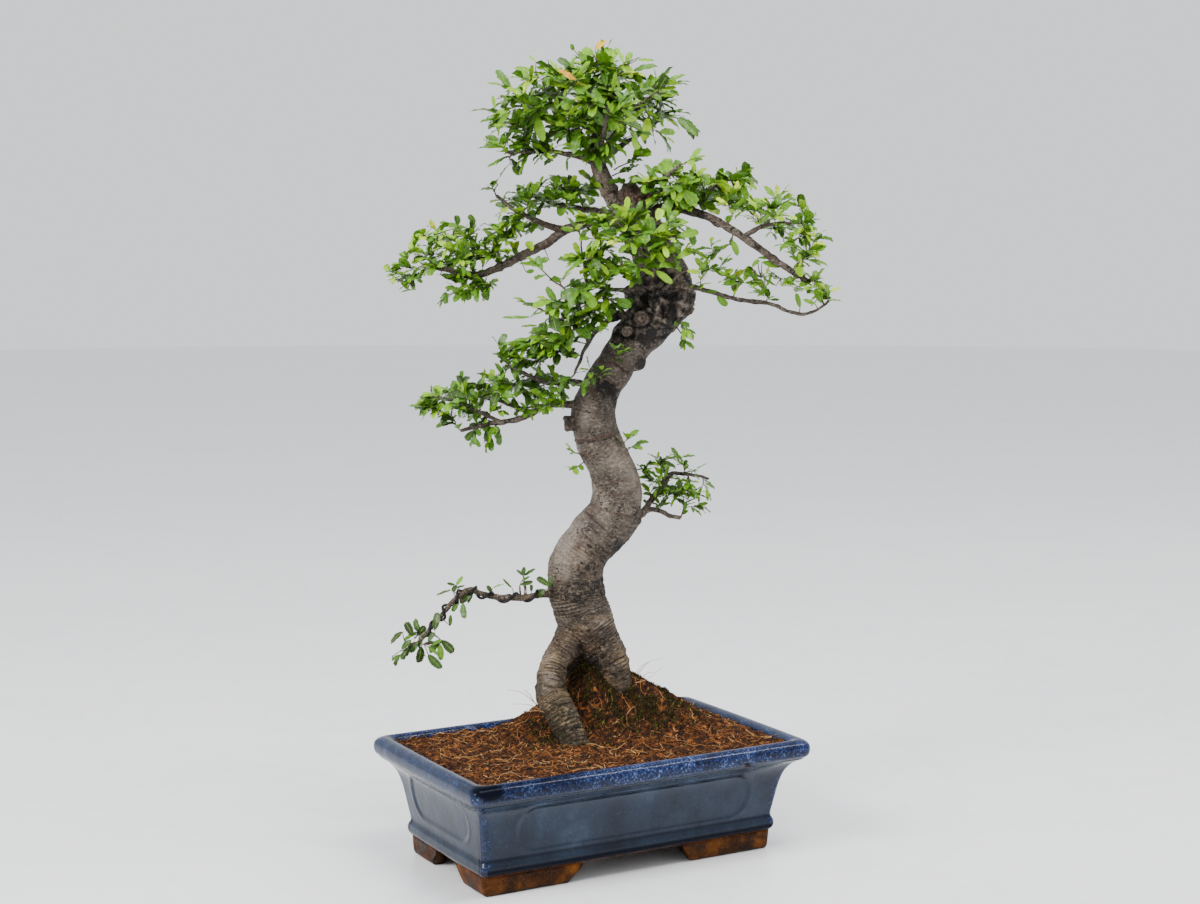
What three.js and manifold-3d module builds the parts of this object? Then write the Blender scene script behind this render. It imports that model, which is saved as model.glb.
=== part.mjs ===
// Chinese elm bonsai in a glazed pot. Millimetres, +Z up.
// The origin is the centre of the pot's footprint on the surface it stands on.
// +X runs along the pot's long side and -Y is the side with the forward root.

import * as THREE from 'three';
import { mergeVertices } from 'three/addons/utils/BufferGeometryUtils.js';
import Module from 'manifold-3d';

const wasm = await Module();
wasm.setup();

// Pot
const POT_LENGTH = 350;
const POT_WIDTH = 220;
const POT_HEIGHT = 108;
const RIM_CORNER = 9;
const WALL_CORNER = 5;
const POT_SIDE_BOW = 1;
const FOOT_LENGTH = 300;
const FOOT_WIDTH = 153;
const FOOT_HEIGHT = 17;
const FOOT_WALL = 14;
const FOOT_CHAMFER = 3;
const FOOT_GAP_LONG = 65;
const FOOT_GAP_SHORT = 33;
const FOOT_GAP_TAPER = 12;
const FOOT_OVERLAP = 2;
const RIM_INNER_LENGTH = 318;
const RIM_INNER_WIDTH = 191;
const POT_WALL = 9.5;
const POT_FLOOR_TOP = 27;
const DRAIN_RADIUS = 11;
const DRAIN_SPACING = 150;
const PANEL_DEPTH = 1.4;
const PANEL_BOTTOM = 36.6;
const PANEL_TOP = 79.4;
const PANEL_CORNER = 16;
const PANEL_HALF_LONG = 120;
const PANEL_HALF_SHORT = 57;
const CUT_MARGIN = 1;

// Share of the way from the rim's nose in to the foot, by height
const WALL_PROFILE = [
  [20, 1], [21.5, 0.91], [28.5, 0.9], [34, 0.945], [51, 0.86], [66, 0.75],
  [77, 0.62], [85, 0.4], [90, 0.12], [97, 0.01], [103, 0], [108, 0.16],
];

// Soil
const SOIL_LEVEL = 104.5;
const MOUND_RISE = 54;
const MOUND_CENTRE = [18, 60];
const MOUND_SPREAD = [76, 45];
const HOLLOW_RISE = 26;
const HOLLOW_CENTRE = [0, 60];
const HOLLOW_SPREAD = 22;
const SOIL_EDGE_FADE = 26;
const CRUMB_RISE = 1.2;
// The soil's surface closes here, clear of the roots
const SOIL_MIDDLE = [17, 47];
const SOIL_RINGS = 9;

// Gap kept between pieces that touch
const FIT_GAP = 0.3;

// Corners closer than this are one corner, and slivers thinner than this go
const MERGE_WITHIN = 1e-3;
const SLIVER = 0.02;

// The tree stands turned in its pot. Its points are [across, deep, up] as seen
// square on to the tree, and this turn lays them over the pot.
const TREE_TURN = THREE.MathUtils.degToRad(29.6);

// Stem: centre line and radius, from the right leg's foot to the dead top
const STEM = [
  [28, 54, 112, 17], [24, 53, 142, 16], [16, 52, 173, 18], [3, 51, 193, 22], [-8, 50, 214, 26],
  [-14, 50, 238, 27], [-14, 49, 260, 26], [-4, 47, 282, 24.5], [10, 45, 297, 25.5],
  [20, 43, 312, 25.5], [24, 40, 333, 23.5], [19, 38, 354, 21.6], [9, 38, 376, 21.2],
  [3, 38, 394, 21.4], [2, 38, 411, 20.4], [9, 36, 432, 18.2], [21, 34, 450, 18],
  [33, 31, 470, 19], [50, 30, 490, 22.5], [65, 30, 514, 26.5], [65, 30, 535, 26],
  [58, 30, 554, 20], [51, 30, 574, 18], [43, 28, 594, 16.5], [41, 27, 610, 14],
];
const FRONT_ROOT = [
  [-13, 48, 204, 20], [-24, 40, 187, 14.5], [-34, 30, 173, 12.5], [-38, 20, 161, 13],
  [-38, 11, 149, 14.5], [-31, 2, 135, 14.5], [-23, -6, 121, 14], [-13, -16, 100, 12],
];
const BACK_ROOT = [
  [-14, 54, 204, 19], [-20, 62, 176, 14], [-22, 68, 147, 12.5], [-22, 70, 112, 11],
];

// Limbs: centre line and radius, each starting inside the wood that bears it
const LIMBS = {
  leader: [
    [40, 28, 578, 10], [24, 26, 600, 8], [13, 25, 621, 7.4], [7, 25, 636, 7.2], [4, 25, 646, 6.5],
  ],
  crownLeft: [[6, 25, 641, 5], [-15, 22, 646, 3.4], [-39, 18, 649, 2.6], [-74, 12, 647, 1.7]],
  crownUpLeft: [[5, 25, 641, 5], [-7, 20, 660, 3.8], [-18, 13, 679, 3], [-30, 8, 699, 2]],
  crownUp: [[5, 25, 641, 5], [3, 32, 665, 4], [5, 36, 688, 3], [8, 38, 715, 2]],
  crownUpRight: [[6, 25, 641, 5], [22, 20, 664, 3.6], [37, 10, 682, 2.8], [51, 2, 696, 2]],
  crownRight: [[6, 26, 640, 5], [28, 36, 655, 3.4], [50, 46, 670, 2.6], [68, 50, 683, 1.8]],
  crownBack: [[5, 27, 640, 5], [-6, 48, 661, 3.4], [-18, 66, 679, 2.6], [-30, 76, 692, 1.8]],
  crownFront: [[6, 23, 641, 5], [10, 0, 659, 3.4], [13, -20, 674, 2.6], [15, -32, 688, 1.8]],
  upperLeft: [
    [45, 30, 580, 6], [19, 32, 585, 5], [-5, 34, 584, 4.6], [-27, 36, 576, 4.3],
    [-44, 36, 564, 4.1], [-66, 36, 553, 4], [-89, 35, 542, 3.6], [-109, 34, 536, 3.2],
    [-132, 32, 541, 2.3], [-156, 30, 545, 1.5],
  ],
  upperLeftFork: [[-24, 35, 577, 3.2], [-45, 30, 584, 2.6], [-65, 26, 593, 2.1], [-87, 22, 609, 1.6]],
  upperLeftBack: [
    [25, 32, 590, 3.4], [8, 40, 595, 3.2], [-15, 52, 598, 2.8], [-37, 60, 603, 2.2],
    [-58, 64, 611, 1.6],
  ],
  upperRight: [
    [50, 28, 582, 7], [68, 22, 599, 5], [87, 12, 596, 4.2], [105, 4, 590, 3.8], [127, -6, 578, 3.5],
    [154, -12, 560, 3.2], [173, -14, 546, 2.9], [195, -16, 532, 2.5],
  ],
  upperRightTop: [[70, 20, 600, 3], [66, 5, 614, 2.4], [69, -8, 626, 2], [80, -14, 636, 1.5]],
  upperRightBack: [[88, 12, 595, 2.8], [104, 25, 610, 2.3], [121, 38, 622, 1.9], [136, 46, 628, 1.5]],
  upperRightTip: [[136, -9, 571, 2.5], [153, -6, 580, 2.1], [168, -8, 584, 1.8], [180, -12, 584, 1.4]],
  lowRight: [
    [68, 8, 529, 3], [90, 0, 527, 2.4], [105, -2, 523, 2.2], [133, -6, 515, 2], [160, -8, 512, 1.8],
    [189, -14, 502, 1.6], [204, -18, 506, 1.3], [214, -21, 514, 1],
  ],
  midLeft: [[30, 24, 503, 4], [9, 14, 490, 3], [-2, 8, 477, 2.7], [-10, 4, 460, 2.4], [-15, 2, 447, 1.8]],
  midLeftFork: [[-3, 8, 476, 2.4], [-7, 2, 488, 2], [-26, -2, 496, 1.7], [-47, -6, 507, 1.3]],
  frontUp: [[48, 18, 525, 4], [19, 0, 524, 2.6], [-3, -6, 531, 2.2], [-7, -8, 549, 1.8], [-9, -10, 563, 1.4]],
  frontLow: [[14, -2, 524, 2.2], [-3, -12, 515, 1.8], [-19, -18, 522, 1.5], [-35, -22, 533, 1.2]],
  frontTop: [[58, 18, 558, 3.4], [52, -4, 566, 2.4], [44, -20, 574, 1.6]],
  frontRight: [[64, 12, 522, 3.4], [70, -14, 528, 2.2], [80, -26, 540, 1.5]],
  lowerLeft: [
    [2, 38, 414, 5], [-19, 30, 417, 3.6], [-40, 26, 416, 3.2], [-55, 22, 409, 3], [-69, 18, 404, 2.7],
    [-99, 12, 399, 2.2], [-120, 8, 394, 1.6],
  ],
  lowerLeftTop: [
    [0, 34, 433, 3.4], [-19, 20, 439, 2.5], [-40, 10, 438, 2.2], [-56, 2, 445, 1.8],
    [-72, -4, 453, 1.4],
  ],
  lowerLeftBack: [[-54, 22, 409, 2.4], [-76, 36, 416, 2], [-97, 44, 421, 1.7], [-119, 48, 426, 1.3]],
  lowerLeftTip: [[-84, 15, 402, 2], [-104, 4, 412, 1.7], [-124, -4, 422, 1.5], [-141, -8, 426, 1.2]],
  lowRightBack: [
    [26, 42, 304, 5], [49, 56, 312, 3.2], [59, 62, 326, 2.8], [69, 66, 338, 2.4],
    [77, 70, 347, 2], [94, 72, 346, 1.6], [112, 74, 342, 1.2],
  ],
  lowRightStub: [[44, 53, 312, 2.6], [61, 60, 314, 2.3], [73, 64, 308, 2.1], [85, 66, 305, 1.9]],
  wired: [
    [-20, 48, 237, 5], [-44, 36, 237, 3.2], [-59, 28, 236, 2.9], [-74, 22, 236, 2.8],
    [-92, 16, 238, 2.7], [-104, 12, 242, 2.6], [-113, 8, 246, 2.5], [-123, 4, 241, 2.4],
    [-133, 1, 231, 2.3], [-140, -2, 221, 2.1], [-150, -4, 210, 1.9], [-158, -6, 201, 1.6],
  ],
};

// Knobs, healed cuts and old stubs on the stem: centre and radius
const KNOBS = [
  [[48, 8, 500], 7], [[86, 22, 508], 9], [[41, 25, 456], 8], [[-16, 28, 397], 6],
  [[36, 22, 318], 7], [[30, 22, 610], 6], [[50, 24, 606], 6], [[82, 44, 530], 9],
];

// Training wire
const WIRE_RADIUS = 1.3;
const WIRE_TURNS = 7;
const WIRE_SIDES = 4;
const WIRE_STEPS_PER_TURN = 9;
const WIRE_FROM = 1.1;
const WIRE_TO = 10.6;

// Leaves
const LEAF_THICKNESS = 0.8;
const LEAF_CUP = 0.09;
const LEAF_OUTLINE = [[0.28, 0.72], [0.56, 1], [0.64, 0.8]];
const LEAF_WIDTH = 0.27;
const LEAF_MIDDLE = 0.42;
const LEAF_STALK = 1.5;
const LEAF_FOOT = 1.8;
const LEAF_STEP = 8;
const LEAF_LEAN = 0.9;
const LEAF_TRIES = 10;
const LEAF_SIZE_SPREAD = 0.3;
const SIDE_SPLAY = 0.95;

// Twigs of a spray. Shares are of the stem's length, reaches of the leaf's length.
const STEM_RADIUS = 1.3;
const TWIG_RADIUS = 0.8;
const TWIG_END = 0.6;
const STEM_RISE = 0.12;
const FIRST_SHOOT = 0.34;
const SHOOT_APART = 0.22;
const SHOOT_REACH = 0.7;
const SHOOT_REACH_SPREAD = 0.4;
const SHOOT_REACH_LIMIT = 0.6;
const SHOOT_AHEAD = 0.5;
const SHOOT_ASIDE = 0.85;
const FACE_OUT = 0.7;
const FACE_UP = 0.6;
const FACE_WANDER = 1.4;
const SPRAY_TRIES = 12;
const SEED = 5;

// Sprays: limb that bears it, place along the limb in control points, tip, leaf length, side twigs
const SPRAYS = [
  ['crownLeft', 1.6, [-58, 2, 672], 21, 3], ['crownLeft', 2.7, [-84, 14, 662], 20, 3],
  ['crownLeft', 2.3, [-72, 24, 636], 18, 1], ['crownUpLeft', 1.6, [-54, 24, 698], 21, 3],
  ['crownUpLeft', 2.9, [-66, -2, 714], 23, 3], ['crownUpLeft', 2.3, [-28, -24, 710], 21, 3],
  ['crownUp', 1.6, [-14, 52, 722], 21, 3], ['crownUp', 2.9, [8, 32, 732], 20, 3],
  ['crownUp', 2.2, [34, 56, 714], 21, 3], ['crownUpRight', 2.9, [72, -4, 708], 24, 3],
  ['crownRight', 2.9, [86, 50, 676], 24, 3], ['crownRight', 1.8, [66, 24, 662], 20, 3],
  ['crownBack', 2.9, [-44, 90, 698], 22, 3], ['crownFront', 2.9, [34, -46, 698], 21, 3],
  ['crownFront', 1.8, [-16, -38, 690], 21, 3], ['crownFront', 0.9, [38, -16, 660], 19, 1],
  ['upperLeft', 5.6, [-84, 18, 576], 18, 3], ['upperLeft', 6.6, [-110, 48, 580], 18, 3],
  ['upperLeft', 7.6, [-140, 18, 574], 18, 3], ['upperLeft', 8.9, [-170, 30, 552], 17, 3],
  ['upperLeft', 7.9, [-134, 28, 516], 17, 1],
  ['upperLeftFork', 2.9, [-88, 8, 618], 17, 1], ['upperLeftFork', 1.6, [-52, 14, 612], 17, 3],
  ['upperLeftBack', 1.9, [-18, 38, 620], 17, 1], ['upperLeftBack', 3.9, [-70, 72, 608], 17, 1],
  ['upperRightTop', 2.9, [90, -20, 640], 20, 3], ['upperRightTop', 1.6, [48, -12, 618], 17, 1],
  ['upperRightBack', 2.9, [142, 42, 630], 21, 1],
  ['upperRight', 3.6, [120, -22, 600], 18, 3], ['upperRightTip', 2.9, [188, -22, 588], 18, 1],
  ['upperRightTip', 1.5, [162, -8, 606], 18, 3], ['upperRight', 5.9, [176, -36, 563], 17, 3],
  ['upperRight', 6.9, [190, -24, 551], 17, 1],
  ['lowRight', 2.2, [118, -12, 550], 18, 1], ['lowRight', 3.7, [150, -2, 536], 17, 1],
  ['lowRight', 4.9, [180, -20, 528], 17, 1], ['lowRight', 6.8, [206, -20, 524], 15, 1],
  ['frontUp', 3.9, [-16, -24, 578], 18, 3], ['frontUp', 1.6, [8, -24, 552], 18, 3],
  ['frontLow', 2.9, [-48, -22, 546], 18, 3], ['frontLow', 1.6, [-22, -34, 508], 18, 1],
  ['frontTop', 1.9, [24, -34, 588], 18, 3], ['frontTop', 1.3, [72, -26, 584], 18, 3],
  ['frontRight', 1.9, [96, -32, 556], 19, 3],
  ['midLeftFork', 2.9, [-60, -4, 512], 17, 1], ['midLeft', 1.8, [-22, 20, 466], 17, 3],
  ['midLeft', 3.8, [-30, -6, 440], 16, 1],
  ['lowerLeftTop', 3.8, [-84, -8, 472], 18, 3], ['lowerLeftTop', 2.3, [-42, 22, 466], 17, 3],
  ['lowerLeft', 3.3, [-62, 6, 430], 17, 1], ['lowerLeft', 5.8, [-130, 14, 404], 17, 3],
  ['lowerLeftTip', 2.8, [-150, -10, 420], 17, 1], ['lowerLeftBack', 2.8, [-122, 52, 438], 17, 1],
  ['lowRightBack', 4.2, [86, 60, 364], 18, 3], ['lowRightBack', 5.8, [110, 74, 332], 18, 1],
  ['wired', 10.8, [-176, -8, 188], 22, 3],
];

const UP = new THREE.Vector3(0, 0, 1);

// Turns a point of the tree from [across, deep, up] to the part's axes
function place([across, deep, up]) {
  return new THREE.Vector3(across, deep, up).applyAxisAngle(UP, -TREE_TURN);
}

// Seeded draw from 0 to 1
function seededDraw(seed) {
  let state = seed >>> 0;
  return () => {
    state = (state + 0x6d2b79f5) >>> 0;
    let mixed = Math.imul(state ^ (state >>> 15), 1 | state);
    mixed = (mixed + Math.imul(mixed ^ (mixed >>> 7), 61 | mixed)) ^ mixed;
    return ((mixed ^ (mixed >>> 14)) >>> 0) / 4294967296;
  };
}

// Closed mesh through rings of points that all have the same count, wound
// counterclockwise seen from the last ring
function loft(rings) {
  const count = rings[0].length;
  const positions = [];
  const index = [];
  for (const ring of rings) for (const point of ring) positions.push(point.x, point.y, point.z);
  for (let i = 0; i + 1 < rings.length; i++) {
    for (let j = 0; j < count; j++) {
      const a = i * count + j;
      const b = i * count + ((j + 1) % count);
      index.push(a, b, b + count, a, b + count, a + count);
    }
  }
  const last = (rings.length - 1) * count;
  for (let j = 1; j + 1 < count; j++) {
    index.push(0, j + 1, j);
    index.push(last, last + j, last + j + 1);
  }
  const geometry = new THREE.BufferGeometry();
  geometry.setAttribute('position', new THREE.Float32BufferAttribute(positions, 3));
  geometry.setIndex(index);
  return geometry;
}

// Solid for joining and cutting, from a closed geometry
function solidOf(geometry) {
  const bare = geometry.clone();
  bare.deleteAttribute('normal');
  bare.deleteAttribute('uv');
  const merged = mergeVertices(bare, MERGE_WITHIN);
  return new wasm.Manifold(new wasm.Mesh({
    numProp: 3,
    vertProperties: new Float32Array(merged.attributes.position.array),
    triVerts: new Uint32Array(merged.index.array),
  }));
}

// Largest body of a solid; loose scraps are dropped
function largestBody(solid) {
  return solid.decompose().sort((a, b) => b.volume() - a.volume())[0];
}

function geometryOf(solid) {
  const mesh = largestBody(solid.simplify(SLIVER)).getMesh();
  const geometry = new THREE.BufferGeometry();
  geometry.setAttribute('position', new THREE.Float32BufferAttribute(mesh.vertProperties, 3));
  geometry.setIndex(Array.from(mesh.triVerts));
  geometry.computeVertexNormals();
  return geometry;
}

// True where every edge of a geometry belongs to just two faces
function isClosed(geometry) {
  const bare = geometry.toNonIndexed();
  bare.deleteAttribute('normal');
  const { array } = mergeVertices(bare, MERGE_WITHIN).index;
  const uses = new Map();
  for (let i = 0; i < array.length; i++) {
    const next = i % 3 === 2 ? i - 2 : i + 1;
    const edge = [array[i], array[next]].sort((a, b) => a - b).join();
    uses.set(edge, (uses.get(edge) ?? 0) + 1);
  }
  return [...uses.values()].every((count) => count === 2);
}

// Rounded oblong ring at one height, its sides bowed out a little
function oblongRing(halfX, halfY, radius, z) {
  const cornerSteps = 2;
  const sideSteps = 2;
  const points = [];
  const corners = [[1, 1], [-1, 1], [-1, -1], [1, -1]];
  corners.forEach(([signX, signY], corner) => {
    const centreX = signX * (halfX - radius);
    const centreY = signY * (halfY - radius);
    for (let i = 0; i <= cornerSteps; i++) {
      const angle = (corner + i / cornerSteps) * Math.PI / 2;
      const x = centreX + radius * Math.cos(angle);
      const y = centreY + radius * Math.sin(angle);
      points.push(new THREE.Vector3(x, y, z));
    }
    const from = points[points.length - 1];
    const [nextX, nextY] = corners[(corner + 1) % 4];
    const alongX = signY === nextY;
    const to = alongX
      ? new THREE.Vector3(nextX * (halfX - radius), from.y, z)
      : new THREE.Vector3(from.x, nextY * (halfY - radius), z);
    for (let i = 1; i < sideSteps; i++) {
      const share = i / sideSteps;
      const point = from.clone().lerp(to, share);
      const swell = POT_SIDE_BOW * 4 * share * (1 - share);
      if (alongX) point.y += signY * swell;
      else point.x += signX * swell;
      points.push(point);
    }
  });
  return points;
}

// Half length and half width of the pot's outside at a share of the way in to the foot
function outsideHalves(share) {
  return [
    (POT_LENGTH - (POT_LENGTH - FOOT_LENGTH) * share) / 2,
    (POT_WIDTH - (POT_WIDTH - FOOT_WIDTH) * share) / 2,
  ];
}

// Solid inside the pot's outer surface, drawn in by an inset
function potOutside(inset, bottom, top) {
  const profile = [[bottom, 1], ...WALL_PROFILE.slice(0, -1), [top, WALL_PROFILE.at(-1)[1]]];
  return loft(profile.map(([z, share]) => {
    const [halfX, halfY] = outsideHalves(share);
    const corner = THREE.MathUtils.lerp(RIM_CORNER, WALL_CORNER, share);
    return oblongRing(halfX - inset, halfY - inset, corner, z);
  }));
}

// Inner wall by height: half length and half width
function insideHalves(z) {
  const above = Math.max(WALL_PROFILE.findIndex(([height]) => height >= z), 1);
  const [low, high] = [WALL_PROFILE[above - 1], WALL_PROFILE[above]];
  const share = THREE.MathUtils.mapLinear(Math.max(z, low[0]), low[0], high[0], low[1], high[1]);
  const [halfX, halfY] = outsideHalves(share);
  return [
    Math.min(halfX - POT_WALL, RIM_INNER_LENGTH / 2),
    Math.min(halfY - POT_WALL, RIM_INNER_WIDTH / 2),
  ];
}

// Rings round the pot's inside from the floor up, drawn in by an inset
const INSIDE_HEIGHTS = [POT_FLOOR_TOP, 66, 85, SOIL_LEVEL];
function insideRings(inset, heights) {
  return heights.map((z) => {
    const [halfX, halfY] = insideHalves(z);
    const lift = z === POT_FLOOR_TOP ? inset : 0;
    return oblongRing(halfX - inset, halfY - inset, WALL_CORNER, z + lift);
  });
}

// Outline of a sunk panel with round corners
function panelShape(half) {
  const shape = new THREE.Shape();
  const [left, right] = [-half + PANEL_CORNER, half - PANEL_CORNER];
  const [low, high] = [PANEL_BOTTOM + PANEL_CORNER, PANEL_TOP - PANEL_CORNER];
  shape.absarc(right, low, PANEL_CORNER, -Math.PI / 2, 0);
  shape.absarc(right, high, PANEL_CORNER, 0, Math.PI / 2);
  shape.absarc(left, high, PANEL_CORNER, Math.PI / 2, Math.PI);
  shape.absarc(left, low, PANEL_CORNER, Math.PI, Math.PI * 1.5);
  return shape;
}

// Block that frees the gap between two feet, wider at the surface than at the pot's base
function footGap(half, reach) {
  const shape = new THREE.Shape();
  const narrow = half - FOOT_GAP_TAPER;
  const [low, shoulder, top] = [-CUT_MARGIN, FOOT_HEIGHT - FOOT_OVERLAP, FOOT_HEIGHT + 2 * FOOT_OVERLAP];
  shape.moveTo(-half, low);
  shape.lineTo(half, low);
  shape.quadraticCurveTo(narrow, CUT_MARGIN, narrow, shoulder);
  shape.lineTo(narrow, top);
  shape.lineTo(-narrow, top);
  shape.lineTo(-narrow, shoulder);
  shape.quadraticCurveTo(-narrow, CUT_MARGIN, -half, low);
  const bar = new THREE.ExtrudeGeometry(shape, { depth: 2 * reach, bevelEnabled: false, curveSegments: 3 });
  return bar.translate(0, 0, -reach).rotateX(Math.PI / 2);
}

function buildPot() {
  const outside = solidOf(potOutside(0, FOOT_HEIGHT, POT_HEIGHT));
  const core = solidOf(potOutside(PANEL_DEPTH, FOOT_HEIGHT - CUT_MARGIN, POT_HEIGHT + CUT_MARGIN));
  const skin = outside.subtract(core);
  const panels = [];
  for (const [half, reach, turn] of [
    [PANEL_HALF_LONG, POT_WIDTH, 0], [PANEL_HALF_LONG, POT_WIDTH, Math.PI],
    [PANEL_HALF_SHORT, POT_LENGTH, Math.PI / 2], [PANEL_HALF_SHORT, POT_LENGTH, -Math.PI / 2],
  ]) {
    const settings = { depth: reach, bevelEnabled: false, curveSegments: 2 };
    const block = new THREE.ExtrudeGeometry(panelShape(half), settings);
    panels.push(skin.intersect(solidOf(block.rotateX(Math.PI / 2).rotateZ(turn))));
  }
  const footRing = (inset, z) => oblongRing(FOOT_LENGTH / 2 - inset, FOOT_WIDTH / 2 - inset, WALL_CORNER, z);
  const feetOutside = loft([
    footRing(FOOT_CHAMFER, 0), footRing(0, FOOT_CHAMFER), footRing(0, FOOT_HEIGHT + FOOT_OVERLAP),
  ]);
  const feetInside = loft([
    footRing(FOOT_WALL, -CUT_MARGIN), footRing(FOOT_WALL, FOOT_HEIGHT + 2 * FOOT_OVERLAP),
  ]);
  const feet = solidOf(feetOutside)
    .subtract(solidOf(feetInside))
    .subtract(solidOf(footGap(FOOT_GAP_LONG, POT_WIDTH)))
    .subtract(solidOf(footGap(FOOT_GAP_SHORT, POT_LENGTH).rotateZ(Math.PI / 2)));
  const hollow = loft(insideRings(0, [...INSIDE_HEIGHTS, POT_HEIGHT + CUT_MARGIN]));
  let pot = outside.subtract(solidOf(hollow));
  for (const panel of panels) pot = pot.subtract(panel);
  pot = pot.add(feet);
  for (const side of [-1, 1]) {
    const drain = new THREE.CylinderGeometry(DRAIN_RADIUS, DRAIN_RADIUS, POT_FLOOR_TOP, 16);
    drain.rotateX(Math.PI / 2).translate(side * DRAIN_SPACING / 2, 0, POT_FLOOR_TOP);
    pot = pot.subtract(solidOf(drain));
  }
  return pot;
}

// Height of the soil's surface above the surface that the pot stands on
function soilHeight(x, y) {
  const tree = new THREE.Vector3(x, y, 0).applyAxisAngle(UP, TREE_TURN);
  const [halfX, halfY] = insideHalves(SOIL_LEVEL);
  const toWall = Math.min(halfX - Math.abs(x), halfY - Math.abs(y));
  const fade = THREE.MathUtils.smoothstep(toWall, 0, SOIL_EDGE_FADE);
  const mound = Math.exp(-(((tree.x - MOUND_CENTRE[0]) / MOUND_SPREAD[0]) ** 2)
    - ((tree.y - MOUND_CENTRE[1]) / MOUND_SPREAD[1]) ** 2);
  const hollow = Math.exp(-(((tree.x - HOLLOW_CENTRE[0]) / HOLLOW_SPREAD) ** 2)
    - ((tree.y - HOLLOW_CENTRE[1]) / HOLLOW_SPREAD) ** 2);
  const crumb = CRUMB_RISE * Math.sin(x / 9 + Math.sin(y / 7)) * Math.cos(y / 8);
  return SOIL_LEVEL + fade * (MOUND_RISE * mound + HOLLOW_RISE * hollow + crumb);
}

function buildSoil(wood) {
  const rings = insideRings(FIT_GAP, INSIDE_HEIGHTS);
  const rim = rings.at(-1);
  for (let i = 1; i < SOIL_RINGS; i++) {
    const share = i / SOIL_RINGS;
    rings.push(rim.map((point) => {
      const x = THREE.MathUtils.lerp(point.x, SOIL_MIDDLE[0], share);
      const y = THREE.MathUtils.lerp(point.y, SOIL_MIDDLE[1], share);
      return new THREE.Vector3(x, y, soilHeight(x, y));
    }));
  }
  return solidOf(loft(rings)).subtract(wood);
}

// Tube of changing radius along a smooth line through points [across, deep, up, radius].
// The relief function scales the radius by angle and place.
function taperedTube(points, sides, extra, relief = () => 1) {
  const curve = new THREE.CatmullRomCurve3(points.map(place), false, 'centripetal');
  const side = new THREE.Vector3();
  let normal = new THREE.Vector3(0.3, 0.8, 0.52);
  return loft(points.map(([, , , radius], i) => {
    const share = i / (points.length - 1);
    const centre = curve.getPoint(share);
    const tangent = curve.getTangent(share);
    normal = normal.clone().addScaledVector(tangent, -normal.dot(tangent)).normalize();
    side.crossVectors(tangent, normal);
    return Array.from({ length: sides }, (_, j) => {
      const angle = j / sides * 2 * Math.PI;
      const reach = radius * relief(angle, i) + extra;
      return centre.clone()
        .addScaledVector(normal, reach * Math.cos(angle))
        .addScaledVector(side, reach * Math.sin(angle));
    });
  }));
}

// Slow swellings and hollows of old bark
function barkRelief(angle, spot) {
  return 1 + 0.05 * Math.sin(2 * angle + 0.9 * spot) + 0.035 * Math.sin(3 * angle - 1.7 * spot)
    + 0.03 * Math.sin(5 * angle + 2.3 * spot);
}

function limbSides(limb) {
  const thickness = limb[1][3];
  if (thickness > 3.3) return 6;
  return thickness > 2.5 ? 4 : 3;
}

// All the wood as one solid, its surface moved out by an extra
function buildWood(extra) {
  let wood = solidOf(taperedTube(STEM, 12, extra, barkRelief));
  for (const root of [FRONT_ROOT, BACK_ROOT]) {
    wood = wood.add(solidOf(taperedTube(root, 8, extra, barkRelief)));
  }
  for (const [centre, radius] of KNOBS) {
    const ball = new THREE.SphereGeometry(radius + extra, 6, 4);
    ball.translate(...place(centre).toArray());
    wood = wood.add(solidOf(ball));
  }
  for (const limb of Object.values(LIMBS)) {
    wood = wood.add(solidOf(taperedTube(limb, limbSides(limb), extra)));
  }
  return wood;
}

// Point on a limb at a place counted in control points, with the limb's radius there
function onLimb(name, spot) {
  const points = LIMBS[name];
  const curve = new THREE.CatmullRomCurve3(points.map(place), false, 'centripetal');
  const low = Math.min(Math.floor(spot), points.length - 2);
  return {
    point: curve.getPoint(spot / (points.length - 1)),
    tangent: curve.getTangent(spot / (points.length - 1)),
    radius: THREE.MathUtils.lerp(points[low][3], points[low + 1][3], spot - low),
  };
}

function buildWire() {
  const steps = WIRE_TURNS * WIRE_STEPS_PER_TURN;
  const centres = [];
  for (let i = 0; i <= steps; i++) {
    const share = i / steps;
    const spot = THREE.MathUtils.lerp(WIRE_FROM, WIRE_TO, share);
    const { point, tangent, radius } = onLimb('wired', spot);
    const across = new THREE.Vector3().crossVectors(tangent, UP).normalize();
    const over = new THREE.Vector3().crossVectors(across, tangent);
    const angle = share * WIRE_TURNS * 2 * Math.PI;
    const reach = radius + WIRE_RADIUS + 2 * FIT_GAP;
    centres.push(point
      .addScaledVector(across, reach * Math.cos(angle))
      .addScaledVector(over, reach * Math.sin(angle)));
  }
  let normal = new THREE.Vector3(0, 0, 1);
  const side = new THREE.Vector3();
  const rings = centres.map((centre, i) => {
    const tangent = centres[Math.min(i + 1, steps)].clone().sub(centres[Math.max(i - 1, 0)]);
    tangent.normalize();
    normal = normal.clone().addScaledVector(tangent, -normal.dot(tangent)).normalize();
    side.crossVectors(tangent, normal);
    return Array.from({ length: WIRE_SIDES }, (_, j) => {
      const angle = j / WIRE_SIDES * 2 * Math.PI;
      return centre.clone()
        .addScaledVector(normal, WIRE_RADIUS * Math.cos(angle))
        .addScaledVector(side, WIRE_RADIUS * Math.sin(angle));
    });
  });
  return solidOf(loft(rings));
}

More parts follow.
